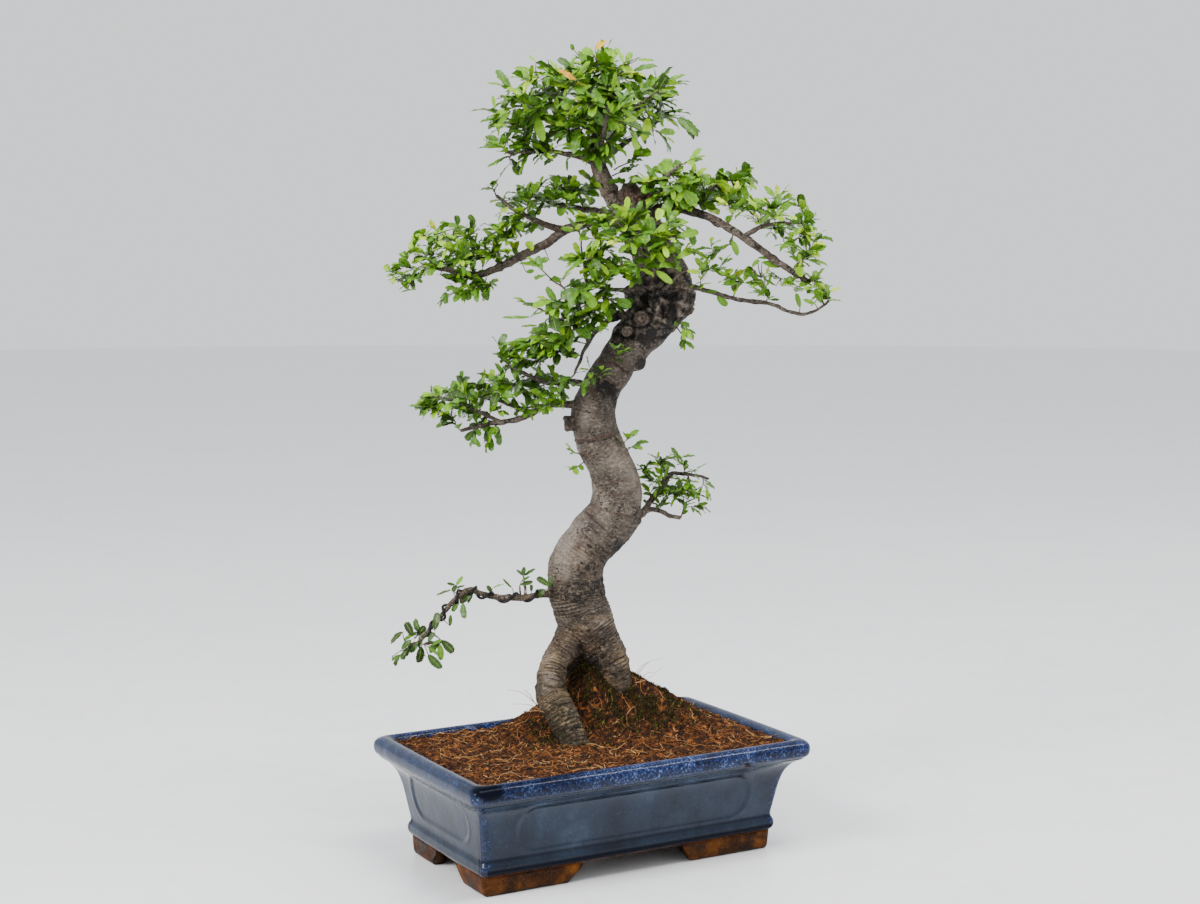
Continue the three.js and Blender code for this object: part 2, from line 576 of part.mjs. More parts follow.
// Outline points of one leaf from its base round the tip: right edge out, tip, left edge back
function leafOutline(base, along, face, length, grow) {
  const across = new THREE.Vector3().crossVectors(face, along).normalize();
  const spot = (u, w) => base.clone()
    .addScaledVector(along, u * length + (u - 0.5) * grow)
    .addScaledVector(across, w * (LEAF_WIDTH * length + grow))
    .addScaledVector(face, LEAF_CUP * length * w * w);
  return [
    ...LEAF_OUTLINE.map(([u, w]) => spot(u, w)),
    spot(1, 0),
    ...LEAF_OUTLINE.map(([u, w]) => spot(u, -w)).reverse(),
  ];
}

function leafMiddle(base, along, face, length, lift) {
  return base.clone().addScaledVector(along, LEAF_MIDDLE * length).addScaledVector(face, lift);
}

// A leaf by itself and a little grown, to test the room that it needs
function leafRoom(leaf, base) {
  const { along, face, length } = leaf;
  const start = base.clone().addScaledVector(along, LEAF_STALK);
  const rim = [start, ...leafOutline(base, along, face, length, FIT_GAP)];
  const positions = [
    ...rim,
    leafMiddle(base, along, face, length, LEAF_THICKNESS / 2 + FIT_GAP),
    leafMiddle(base, along, face, length, -LEAF_THICKNESS / 2 - FIT_GAP),
  ];
  const index = [];
  rim.forEach((_, i) => {
    const next = (i + 1) % rim.length;
    index.push(rim.length, i, next, rim.length + 1, next, i);
  });
  return solidOf(meshOf(positions, index));
}

function meshOf(points, index) {
  const geometry = new THREE.BufferGeometry();
  const positions = points.flatMap((point) => point.toArray());
  geometry.setAttribute('position', new THREE.Float32BufferAttribute(positions, 3));
  geometry.setIndex(index);
  return geometry;
}

// Twig with its leaves as one closed mesh. The twig has a four-cornered section at each stop:
// right, top, left, bottom. A side leaf grows from the right or left corners between two stops,
// and the end leaf closes the last stop.
function leafyTwig(stops, radii, up, leaves) {
  const positions = [];
  const index = [];
  const corners = [];
  stops.forEach((centre, i) => {
    const next = stops[Math.min(i + 1, stops.length - 1)];
    const along = next.clone().sub(stops[Math.max(i - 1, 0)]).normalize();
    const right = new THREE.Vector3().crossVectors(up, along).normalize();
    const top = new THREE.Vector3().crossVectors(along, right);
    corners.push([positions.length, positions.length + 1, positions.length + 2, positions.length + 3]);
    for (const [x, y] of [[1, 0], [0, 1], [-1, 0], [0, -1]]) {
      const corner = centre.clone().addScaledVector(right, x * radii[i]);
      positions.push(corner.addScaledVector(top, y * radii[i]));
    }
  });
  for (let i = 0; i + 1 < stops.length; i++) {
    for (let j = 0; j < 4; j++) {
      const [a, b] = [corners[i][j], corners[i][(j + 1) % 4]];
      const [c, d] = [corners[i + 1][(j + 1) % 4], corners[i + 1][j]];
      index.push(a, b, c, a, c, d);
    }
  }
  index.push(0, 2, 1, 0, 3, 2);
  if (!leaves.some((leaf) => leaf.side === 0)) {
    const [right, top, left, bottom] = corners.at(-1);
    index.push(right, top, left, right, left, bottom);
  }
  for (const leaf of leaves) {
    const { stop, side, base, along, face, length } = leaf;
    const rim = leafOutline(base, along, face, length, 0).map((point) => positions.push(point) - 1);
    const high = positions.push(leafMiddle(base, along, face, length, LEAF_THICKNESS / 2)) - 1;
    const low = positions.push(leafMiddle(base, along, face, length, -LEAF_THICKNESS / 2)) - 1;
    const [right, top, left, bottom] = corners[stop];
    let over = [left, ...rim.toReversed(), right, top];
    let under = [right, ...rim, left, bottom];
    if (side > 0) {
      over = [right, corners[stop + 1][0], ...rim.toReversed()];
      under = over.toReversed();
    }
    if (side < 0) {
      over = [corners[stop + 1][2], left, ...rim.toReversed()];
      under = over.toReversed();
    }
    over.forEach((from, k) => index.push(high, from, over[(k + 1) % over.length]));
    under.forEach((from, k) => index.push(low, from, under[(k + 1) % under.length]));
  }
  return solidOf(meshOf(positions, index));
}

// True where a solid reaches into any of the others
function meets(solid, others) {
  const box = solid.boundingBox();
  return others.some((other) => {
    const far = [0, 1, 2].some((axis) => (
      box.min[axis] > other.box.max[axis] || box.max[axis] < other.box.min[axis]
    ));
    return !far && !solid.intersect(other.solid).isEmpty();
  });
}

function withBox(solid) {
  return { solid, box: solid.boundingBox() };
}

// A spray's stem as root, middle and tip
function sprayStem([limb, spot, tip]) {
  const from = onLimb(limb, spot).point;
  const to = place(tip);
  const middle = from.clone().lerp(to, 0.5).addScaledVector(UP, STEM_RISE * from.distanceTo(to));
  return [from, middle, to];
}

function pointOnStem([from, middle, to], share) {
  return share < 0.5 ? from.clone().lerp(middle, share * 2) : middle.clone().lerp(to, share * 2 - 1);
}

// Stops along a shoot: its root, the feet of a right and a left leaf, and its end
function shootStops({ from, middle, to }) {
  const length = from.distanceTo(to);
  const pair = 1 - Math.min(LEAF_STEP / length, 0.5);
  const foot = Math.min(LEAF_FOOT / length, 0.2);
  return [0, pair - foot, pair, pair + foot, 1].map((share) => pointOnStem([from, middle, to], share));
}

// Leaves of a shoot: one at the end, one to the right and one to the left
function shootLeaves(stops, up, leafLength, draw, isFree) {
  const leaves = [];
  const end = stops.length - 1;
  for (const [stop, side] of [[end, 0], [1, 1], [2, -1]]) {
    const isEnd = side === 0;
    const along = stops[stop].clone().sub(stops[stop - 1]).normalize();
    const right = new THREE.Vector3().crossVectors(up, along).normalize();
    const base = isEnd ? stops[stop] : stops[stop].clone().lerp(stops[stop + 1], 0.5);
    for (let attempt = 0; attempt < LEAF_TRIES; attempt++) {
      const splay = side * (SIDE_SPLAY + 0.35 * draw()) + 0.4 * (draw() - 0.5);
      const heading = along.clone().multiplyScalar(Math.cos(splay));
      heading.addScaledVector(right, Math.sin(splay));
      const lean = new THREE.Vector3(draw() - 0.5, draw() - 0.5, draw() - 0.5).multiplyScalar(LEAF_LEAN);
      const face = up.clone().add(lean).addScaledVector(UP, 0.15);
      face.addScaledVector(heading, -face.dot(heading)).normalize();
      heading.addScaledVector(face, 0.25 * (draw() - 0.6)).normalize();
      const length = leafLength * (1 + LEAF_SIZE_SPREAD * (draw() - 0.5));
      const leaf = { stop, side, base, along: heading, face, length };
      const room = leafRoom(leaf, base);
      if (!isFree(room)) continue;
      leaves.push(leaf);
      break;
    }
  }
  return leaves;
}

// One spray: a leafy stem with side shoots by turns left and right
function buildSpray(spray, seed, taken, woodWithGap) {
  const [, , , leafLength, sideShoots] = spray;
  const draw = seededDraw(seed);
  const points = sprayStem(spray);
  const [from, middle, to] = points;
  const along = to.clone().sub(from).normalize();
  const level = new THREE.Vector3().crossVectors(along, UP).normalize();
  const outward = to.clone().sub(place(STEM[STEM.length >> 1])).setZ(0).normalize();
  const wander = new THREE.Vector3(draw() - 0.5, draw() - 0.5, draw() - 0.5);
  const facing = outward.multiplyScalar(FACE_OUT)
    .addScaledVector(UP, FACE_UP).addScaledVector(wander, FACE_WANDER).normalize();
  const shoots = [{ from, middle, to, up: facing, radius: STEM_RADIUS }];
  for (let i = 0; i < sideShoots; i++) {
    const start = pointOnStem(points, FIRST_SHOOT + SHOOT_APART * i);
    const sign = (i + SPRAYS.indexOf(spray)) % 2 ? 1 : -1;
    const wanted = leafLength * (SHOOT_REACH + SHOOT_REACH_SPREAD * draw());
    const reach = Math.min(wanted, SHOOT_REACH_LIMIT * from.distanceTo(to));
    const end = start.clone()
      .addScaledVector(along, reach * SHOOT_AHEAD)
      .addScaledVector(level, sign * reach * SHOOT_ASIDE)
      .addScaledVector(UP, reach * (0.5 * draw() - 0.1));
    const mid = start.clone().lerp(end, 0.5);
    shoots.push({ from: start, middle: mid, to: end, up: facing, radius: TWIG_RADIUS });
  }
  const rooms = [];
  const twigs = shoots.map((shoot) => {
    const stops = shootStops(shoot);
    const last = stops.length - 1;
    const radii = stops.map((_, i) => THREE.MathUtils.lerp(shoot.radius, TWIG_END, i / last));
    const grown = radii.map((radius) => radius + FIT_GAP);
    const room = withBox(leafyTwig(stops, grown, shoot.up, []));
    return { stops, radii, room, up: shoot.up };
  });
  const clear = twigs.filter((twig, i) => i === 0 || !meets(twig.room.solid, taken));
  const solids = clear.map((twig) => {
    const others = twigs.filter((other) => other !== twig).map((other) => other.room);
    const leaves = shootLeaves(twig.stops, twig.up, leafLength, draw, (room) => {
      if (meets(room, [...rooms, ...others, ...taken, woodWithGap])) return false;
      rooms.push(withBox(room));
      return true;
    });
    return leafyTwig(twig.stops, twig.radii, twig.up, leaves);
  });
  return largestBody(solids.reduce((sum, solid) => sum.add(solid)).subtract(woodWithGap.solid));
}

function material(color, roughness, metalness = 0) {
  return new THREE.MeshStandardMaterial({ color, roughness, metalness });
}

const GLAZE = material(0x3c4d68, 0.25);
const EARTH = material(0x5a3f2c, 0.95);
const BARK = material(0x7d7369, 0.85);
const LEAF = material(0x4f8a34, 0.5);
const WIRE = material(0x15171c, 0.4, 0.8);

const bonsai = new THREE.Group();
function addPiece(name, geometry, look) {
  const mesh = new THREE.Mesh(geometry, look);
  mesh.name = name;
  bonsai.add(mesh);
}

const wood = buildWood(0);
const woodWithGap = withBox(buildWood(FIT_GAP));
addPiece('pot', geometryOf(buildPot()), GLAZE);
addPiece('soil', geometryOf(buildSoil(woodWithGap.solid)), EARTH);
addPiece('trunk', geometryOf(wood), BARK);

const wire = buildWire();
addPiece('training_wire', geometryOf(wire), WIRE);

// Sprays are numbered along each limb in the order of the table. One whose faces
// meet along an edge is drawn again from the next seed.
const taken = [withBox(wire)];
const counts = {};
for (const spray of SPRAYS) {
  let solid;
  let geometry;
  for (let attempt = 0; attempt < SPRAY_TRIES; attempt++) {
    const seed = SEED * 1000 + SPRAYS.indexOf(spray) + SPRAYS.length * attempt;
    solid = buildSpray(spray, seed, taken, woodWithGap);
    geometry = geometryOf(solidOf(geometryOf(solid)));
    if (isClosed(geometry)) break;
  }
  taken.push(withBox(solid));
  counts[spray[0]] = (counts[spray[0]] ?? 0) + 1;
  const plain = spray[0].replace(/[A-Z]/g, (letter) => `_${letter.toLowerCase()}`);
  addPiece(`spray_${plain}_${counts[spray[0]]}`, geometry, LEAF);
}

export default bonsai;
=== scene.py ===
import math

import bpy
import numpy as np
from mathutils import Matrix, Vector, kdtree, noise


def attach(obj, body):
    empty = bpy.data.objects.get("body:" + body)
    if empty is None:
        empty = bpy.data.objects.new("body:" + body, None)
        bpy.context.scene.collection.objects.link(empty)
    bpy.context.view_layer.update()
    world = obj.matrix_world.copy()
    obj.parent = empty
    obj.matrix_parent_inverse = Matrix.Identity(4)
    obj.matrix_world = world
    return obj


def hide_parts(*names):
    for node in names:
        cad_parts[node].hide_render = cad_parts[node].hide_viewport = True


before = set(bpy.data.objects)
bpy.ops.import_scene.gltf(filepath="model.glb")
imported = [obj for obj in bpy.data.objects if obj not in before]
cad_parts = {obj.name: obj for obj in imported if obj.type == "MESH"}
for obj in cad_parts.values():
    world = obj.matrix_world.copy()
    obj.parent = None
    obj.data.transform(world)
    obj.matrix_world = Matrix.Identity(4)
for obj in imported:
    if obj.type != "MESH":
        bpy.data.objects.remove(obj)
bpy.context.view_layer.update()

MM = 0.001
TREE_TURN = math.radians(29.6)
FIT_GAP = 0.3

# Camera, at a tree point
PHOTO_WIDTH, PHOTO_HEIGHT = 1200, 904
FOCAL_PIXELS = 2028.5
CAMERA_PITCH = math.radians(6.049)
CAMERA_PLACE = np.array([8.1, -1850.8, 571.5])
SENSOR_WIDTH = 36.0

# Floor disc, in metres
FLOOR_RADIUS, FLOOR_DROP, FLOOR_SIDES = 9, 0.0002, 48

# Pot
POT_LENGTH, POT_WIDTH = 350.0, 220.0
FOOT_LENGTH, FOOT_WIDTH, FOOT_WALL = 300.0, 153.0, 14.0
RIM_CORNER, WALL_CORNER, POT_SIDE_BOW = 9.0, 5.0, 1.0
INNER_LENGTH, INNER_WIDTH = 318.0, 191.0
FLOOR_TOP = 27.0
DRAIN_RADIUS, DRAIN_SPACING = 11.0, 150.0
POT_STEP = 1.45
STEPS_LONG, STEPS_SHORT, STEPS_CORNER = 150, 92, 10
# Sunk panels: half length, low edge, high edge and corner
LONG_PANEL, SHORT_PANEL, PANELS_END = (121, 36.6, 79.4, 20), (58, 42, 84, 20), 86.5
# Half gaps between the feet at the pot, along and across, and how much wider at the surface
FOOT_GAPS, FOOT_GAPS_WIDER = (52.0, 20.0), (12.5, 12.0)
UNDERSIDE = 17.6

# Soil, with tree points for the mound, the hollow between the roots and a scoop before them
SOIL_LEVEL, SOIL_EDGE_FADE = 104.5, 26.0
MOUND_RISE, MOUND_CENTRE, MOUND_SPREAD = 54.0, (18.0, 60.0), (76.0, 45.0)
HOLLOW_RISE, HOLLOW_CENTRE, HOLLOW_SPREAD = 26.0, (0.0, 60.0), (22.0, 22.0)
SCOOP_DROP, SCOOP_CENTRE, SCOOP_SPREAD = 8, (34, 26), (24, 17)
FIBRES, CHIPS, TUFTS = 2700, 1500, 4200
TUFT_BLADES = 3
SHORT_FIBRE, LONG_FIBRE, FIBRE_RADIUS, FIBRE_STEPS = (5, 18), (20, 40), (0.16, 0.46), 6
LONG_EVERY, RAISED_EVERY, PALE_EVERY = 12, 5, 10
MOSS_LIMITS, MOSS_SPACING, FRESH_MOSS = (150, 88), 14, 0.04
# Moss: how often out of ten, centre and spread
MOSS_SPOTS = [(1, (-32, 0), (15, 14)), (2, (2, 50), (13, 14)), (3, (36, 36), (24, 12)),
              (2, (10, 28), (40, 26)), (2, (62, 58), (22, 16))]

# Wood: centre line and radius as across, deep, up, radius
STEM = [
    (28, 54, 112, 17), (24, 53, 142, 16), (16, 52, 173, 18), (3, 51, 193, 22), (-8, 50, 214, 26),
    (-14, 50, 238, 27), (-14, 49, 260, 26), (-4, 47, 282, 24.5), (10, 45, 297, 25.5),
    (20, 43, 312, 25.5), (24, 40, 333, 23.5), (19, 38, 354, 21.6), (9, 38, 376, 21.2),
    (3, 38, 394, 21.4), (2, 38, 411, 20.4), (9, 36, 432, 18.2), (21, 34, 450, 18),
    (33, 31, 470, 19), (50, 30, 490, 22.5), (65, 30, 514, 26.5), (65, 30, 535, 26),
    (58, 30, 554, 20), (51, 30, 574, 18), (43, 28, 594, 16.5), (41, 27, 610, 14),
]
FRONT_ROOT = [
    (-13, 48, 204, 20), (-24, 40, 187, 14.5), (-34, 30, 173, 12.5), (-38, 20, 161, 13),
    (-38, 11, 149, 14.5), (-31, 2, 135, 14.5), (-23, -6, 121, 14), (-13, -16, 100, 12),
]
BACK_ROOT = [(-14, 54, 204, 19), (-20, 62, 176, 14), (-22, 68, 147, 12.5), (-22, 70, 112, 11)]
LIMBS = {
    "leader": [(40, 28, 578, 10), (24, 26, 600, 8), (13, 25, 621, 7.4), (7, 25, 636, 7.2),
        (4, 25, 646, 6.5)],
    "crown_left": [(6, 25, 641, 5), (-15, 22, 646, 3.4), (-39, 18, 649, 2.6), (-74, 12, 647, 1.7)],
    "crown_up_left": [(5, 25, 641, 5), (-7, 20, 660, 3.8), (-18, 13, 679, 3), (-30, 8, 699, 2)],
    "crown_up": [(5, 25, 641, 5), (3, 32, 665, 4), (5, 36, 688, 3), (8, 38, 715, 2)],
    "crown_up_right": [(6, 25, 641, 5), (22, 20, 664, 3.6), (37, 10, 682, 2.8), (51, 2, 696, 2)],
    "crown_right": [(6, 26, 640, 5), (28, 36, 655, 3.4), (50, 46, 670, 2.6), (68, 50, 683, 1.8)],
    "crown_back": [(5, 27, 640, 5), (-6, 48, 661, 3.4), (-18, 66, 679, 2.6), (-30, 76, 692, 1.8)],
    "crown_front": [(6, 23, 641, 5), (10, 0, 659, 3.4), (13, -20, 674, 2.6), (15, -32, 688, 1.8)],
    "upper_left": [(45, 30, 580, 6), (19, 32, 585, 5), (-5, 34, 584, 4.6), (-27, 36, 576, 4.3),
        (-44, 36, 564, 4.1), (-66, 36, 553, 4), (-89, 35, 542, 3.6), (-109, 34, 536, 3.2),
        (-132, 32, 541, 2.3), (-156, 30, 545, 1.5)],
    "upper_left_fork": [(-24, 35, 577, 3.2), (-45, 30, 584, 2.6), (-65, 26, 593, 2.1),
        (-87, 22, 609, 1.6)],
    "upper_left_back": [(25, 32, 590, 3.4), (8, 40, 595, 3.2), (-15, 52, 598, 2.8),
        (-37, 60, 603, 2.2), (-58, 64, 611, 1.6)],
    "upper_right": [(50, 28, 582, 7), (68, 22, 599, 5), (87, 12, 596, 4.2), (105, 4, 590, 3.8),
        (127, -6, 578, 3.5), (154, -12, 560, 3.2), (173, -14, 546, 2.9), (195, -16, 532, 2.5)],
    "upper_right_top": [(70, 20, 600, 3), (66, 5, 614, 2.4), (69, -8, 626, 2),
        (80, -14, 636, 1.5)],
    "upper_right_back": [(88, 12, 595, 2.8), (104, 25, 610, 2.3), (121, 38, 622, 1.9),
        (136, 46, 628, 1.5)],
    "upper_right_tip": [(136, -9, 571, 2.5), (153, -6, 580, 2.1), (168, -8, 584, 1.8),
        (180, -12, 584, 1.4)],
    "low_right": [(68, 8, 529, 3), (90, 0, 527, 2.4), (105, -2, 523, 2.2), (133, -6, 515, 2),
        (160, -8, 512, 1.8), (189, -14, 502, 1.6), (204, -18, 506, 1.3), (214, -21, 514, 1)],
    "mid_left": [(30, 24, 503, 4), (9, 14, 490, 3), (-2, 8, 477, 2.7), (-10, 4, 460, 2.4),
        (-15, 2, 447, 1.8)],
    "mid_left_fork": [(-3, 8, 476, 2.4), (-7, 2, 488, 2), (-26, -2, 496, 1.7),
        (-47, -6, 507, 1.3)],
    "front_up": [(48, 18, 525, 4), (19, 0, 524, 2.6), (-3, -6, 531, 2.2), (-7, -8, 549, 1.8),
        (-9, -10, 563, 1.4)],
    "front_low": [(14, -2, 524, 2.2), (-3, -12, 515, 1.8), (-19, -18, 522, 1.5),
        (-35, -22, 533, 1.2)],
    "front_top": [(58, 18, 558, 3.4), (52, -4, 566, 2.4), (44, -20, 574, 1.6)],
    "front_right": [(64, 12, 522, 3.4), (70, -14, 528, 2.2), (80, -26, 540, 1.5)],
    "lower_left": [(2, 38, 414, 5), (-19, 30, 417, 3.6), (-40, 26, 416, 3.2), (-55, 22, 409, 3),
        (-69, 18, 404, 2.7), (-99, 12, 399, 2.2), (-120, 8, 394, 1.6)],
    "lower_left_top": [(0, 34, 433, 3.4), (-19, 20, 439, 2.5), (-40, 10, 438, 2.2),
        (-56, 2, 445, 1.8), (-72, -4, 453, 1.4)],
    "lower_left_back": [(-54, 22, 409, 2.4), (-76, 36, 416, 2), (-97, 44, 421, 1.7),
        (-119, 48, 426, 1.3)],
    "lower_left_tip": [(-84, 15, 402, 2), (-104, 4, 412, 1.7), (-124, -4, 422, 1.5),
        (-141, -8, 426, 1.2)],
    "low_right_back": [(26, 42, 304, 5), (49, 56, 312, 3.2), (59, 62, 326, 2.8),
        (69, 66, 338, 2.4), (77, 70, 347, 2), (94, 72, 346, 1.6), (112, 74, 342, 1.2)],
    "low_right_stub": [(44, 53, 312, 2.6), (61, 60, 314, 2.3), (73, 64, 308, 2.1),
        (85, 66, 305, 1.9)],
    "wired": [(-20, 48, 237, 5), (-44, 36, 237, 3.2), (-59, 28, 236, 2.9), (-74, 22, 236, 2.8),
        (-92, 16, 238, 2.7), (-104, 12, 242, 2.6), (-113, 8, 246, 2.5), (-123, 4, 241, 2.4),
        (-133, 1, 231, 2.3), (-140, -2, 221, 2.1), (-150, -4, 210, 1.9), (-158, -6, 201, 1.6)],
}
# Healed knobs and lumps of old wounds: centre and radius
LUMPS = [
    ((48, 8, 500), 7), ((86, 22, 508), 9), ((41, 25, 456), 8), ((-16, 28, 397), 6),
    ((36, 22, 318), 7), ((30, 22, 610), 6), ((50, 24, 606), 6), ((82, 44, 530), 9),
    ((33, 14, 488), 8), ((60, 3, 516), 9), ((80, 12, 524), 11), ((44, 12, 516), 7),
    ((66, 6, 496), 7), ((22, 22, 474), 6), ((88, 34, 518), 9), ((70, 50, 500), 10),
    ((40, 52, 520), 9), ((56, 56, 540), 9), ((42, 38, 309), 6.5), ((-22, 26, 395), 4.2),
    ((-24, 23, 404), 3.6), ((-30, 42, 246), 7), ((-34, 44, 236), 5), ((52, 20, 552), 8),
    ((66, 14, 545), 8),
]
# Short cut ends: foot, tip and radius
STUBS = [
    ((48, 12, 500), (49, 2, 501), 6.2), ((33, 18, 488), (30, 5, 488), 5.0),
    ((66, 14, 520), (75, -3, 525), 3.6), ((-12, 30, 398), (-24, 24, 401), 6.2),
    ((40, 27, 604), (34, 22, 620), 6.5), ((52, 26, 600), (55, 24, 613), 7.5),
    ((46, 32, 600), (45, 38, 615), 7.0),
]
WOOD_CELL, QUICK_WOOD_CELL = 0.00129, 0.0026
# Heights of the knotty stretch (middle, reach), the dark band (from, full, to, gone) and the torn
# top of the stem (middle, reach)
KNOTTY, BAND, TORN = (510, 36), (226, 238, 250, 253), (612, 11)
THICK_LIMB = 2.9

# Training wire, between two places on its limb counted in control points
WIRE_RADIUS, WIRE_TURNS, WIRE_STEPS, WIRE_FROM, WIRE_TO = 1.3, 7, 24, 1.1, 10.6

# Tips of the sprays on each limb
SPRAY_TIPS = {
    "crown_left": [(-58, 2, 672), (-84, 14, 662), (-72, 24, 636)],
    "crown_up_left": [(-54, 24, 698), (-66, -2, 714), (-28, -24, 710)],
    "crown_up": [(-14, 52, 722), (8, 32, 732), (34, 56, 714)],
    "crown_up_right": [(72, -4, 708)],
    "crown_right": [(86, 50, 676), (66, 24, 662)],
    "crown_back": [(-44, 90, 698)],
    "crown_front": [(34, -46, 698), (-16, -38, 690), (38, -16, 660)],
    "upper_left": [(-84, 18, 576), (-110, 48, 580), (-140, 18, 574), (-170, 30, 552),
        (-134, 28, 516)],
    "upper_left_fork": [(-88, 8, 618), (-52, 14, 612)],
    "upper_left_back": [(-18, 38, 620), (-70, 72, 608)],
    "upper_right_top": [(90, -20, 640), (48, -12, 618)],
    "upper_right_back": [(142, 42, 630)],
    "upper_right": [(120, -22, 600), (176, -36, 563), (190, -24, 551)],
    "upper_right_tip": [(188, -22, 588), (162, -8, 606)],
    "low_right": [(118, -12, 550), (150, -2, 536), (180, -20, 528), (206, -20, 524)],
    "front_up": [(-16, -24, 578), (8, -24, 552)],
    "front_low": [(-48, -22, 546), (-22, -34, 508)],
    "front_top": [(24, -34, 588), (72, -26, 584)],
    "front_right": [(96, -32, 556)],
    "mid_left_fork": [(-60, -4, 512)],
    "mid_left": [(-22, 20, 466), (-30, -6, 440)],
    "lower_left_top": [(-84, -8, 472), (-42, 22, 466)],
    "lower_left": [(-62, 6, 430), (-130, 14, 404)],
    "lower_left_tip": [(-150, -10, 420)],
    "lower_left_back": [(-122, 52, 438)],
    "low_right_back": [(86, 60, 364), (110, 74, 332)],
    "wired": [(-176, -8, 188)],
}

# Leafy pads. Each has the limbs that bear it, its leaf length, how wide its leaves are, its tone,
# and its clouds: centre as column, row and depth, reach across, up and deep, and twig count.
PADS = {
    "crown": (["crown_left", "crown_up_left", "crown_up", "crown_up_right", "crown_right",
        "crown_back", "crown_front"], 20, 0.92, -0.01,
        [(582, 106, 22, 56, 38, 55, 56), (520, 112, 12, 26, 26, 36, 20),
         (644, 106, 28, 30, 28, 36, 22), (600, 72, 25, 34, 14, 32, 15),
         (528, 146, 12, 34, 9, 26, 12), (560, 82, 0, 30, 16, 26, 10),
         (590, 118, -10, 40, 24, 22, 14), (598, 144, 2, 22, 11, 14, 11),
         (606, 108, -34, 24, 26, 8, 7)]),
    "upper_left_fork": (["upper_left_fork", "upper_left_back"], 13, 1.1, 0.04,
        [(548, 198, 35, 46, 20, 30, 30), (520, 222, 32, 26, 16, 22, 14),
         (582, 186, 38, 20, 12, 20, 6)]),
    "upper_left": (["upper_left"], 12.5, 1.1, 0.09,
        [(452, 252, 32, 40, 26, 30, 44), (404, 274, 30, 15, 12, 16, 8),
         (470, 284, 28, 28, 12, 18, 10), (500, 246, 28, 20, 18, 20, 10)]),
    "front": (["front_up", "front_low", "front_top", "front_right"], 16, 1.0, 0.07,
        [(626, 250, -24, 44, 32, 18, 22), (590, 280, -18, 28, 28, 18, 16),
         (592, 262, -14, 14, 16, 12, 6), (604, 300, -14, 14, 10, 12, 5),
         (664, 244, -18, 26, 30, 20, 9), (612, 222, -22, 40, 14, 16, 10),
         (560, 306, -18, 20, 16, 16, 6)]),
    "upper_right_top": (["upper_right_top", "upper_right_back"], 17, 1.12, 0.1,
        [(672, 188, 4, 34, 18, 24, 20), (716, 192, 20, 34, 16, 30, 18),
         (744, 178, 40, 10, 8, 10, 3)]),
    "upper_right": (["upper_right", "upper_right_tip"], 14.5, 1.05, 0.14,
        [(780, 216, -10, 34, 24, 30, 16), (744, 202, 0, 22, 13, 24, 6),
         (804, 246, -18, 17, 18, 16, 9), (716, 246, -12, 14, 9, 14, 2)]),
    "low_right": (["low_right"], 13, 1.15, 0.12,
        [(724, 276, -4, 26, 16, 12, 5), (764, 284, -8, 24, 14, 14, 5),
         (802, 288, -16, 22, 14, 12, 6), (822, 298, -20, 8, 6, 6, 2)]),
    "mid_left": (["mid_left", "mid_left_fork"], 13, 1.08, 0.02,
        [(556, 338, 0, 30, 20, 20, 22), (594, 322, -10, 14, 18, 12, 7),
         (528, 356, 4, 26, 16, 18, 16), (582, 320, -2, 18, 18, 14, 9)]),
    "lower_left": (["lower_left_top", "lower_left", "lower_left_tip", "lower_left_back"],
        12.5, 1.12, 0.0,
        [(510, 396, 12, 48, 22, 30, 32), (460, 404, 10, 36, 18, 28, 24),
         (430, 406, -2, 14, 10, 12, 6), (488, 430, 16, 20, 12, 14, 8),
         (552, 384, 16, 18, 14, 14, 8)]),
    "low_right_back": (["low_right_back", "low_right_stub"], 13.5, 0.72, 0.03,
        [(674, 482, 66, 28, 26, 20, 24), (694, 496, 70, 14, 18, 14, 7),
         (655, 470, 60, 15, 18, 12, 8), (660, 498, 62, 14, 12, 12, 6)]),
    "wired": (["wired"], 15, 1.0, -0.05,
        [(420, 640, -6, 18, 14, 10, 2)]),
}
# Shoots straight from old wood: foot and tip as column, row and depth, and the leaf length
SHOOTS = [
    ((612, 352, 12), (618, 346, 2), 14), ((606, 362, 12), (624, 352, 0), 14),
    ((598, 378, 16), (590, 368, 4), 14), ((600, 384, 16), (602, 370, 2), 13),
    ((596, 372, 16), (584, 384, 6), 12), ((672, 318, 20), (686, 330, 4), 13),
    ((676, 326, 24), (684, 343, 10), 12), ((622, 452, 30), (630, 436, 22), 15),
    ((624, 452, 30), (636, 444, 24), 12), ((584, 456, 24), (571, 450, 12), 13),
    ((584, 462, 24), (574, 468, 14), 12), ((612, 176, 28), (632, 163, 18), 15),
    ((614, 170, 28), (641, 156, 14), 15), ((640, 196, 22), (652, 182, 10), 15),
    ((634, 196, 26), (622, 182, 14), 14), ((588, 300, 20), (570, 320, 2), 14),
]
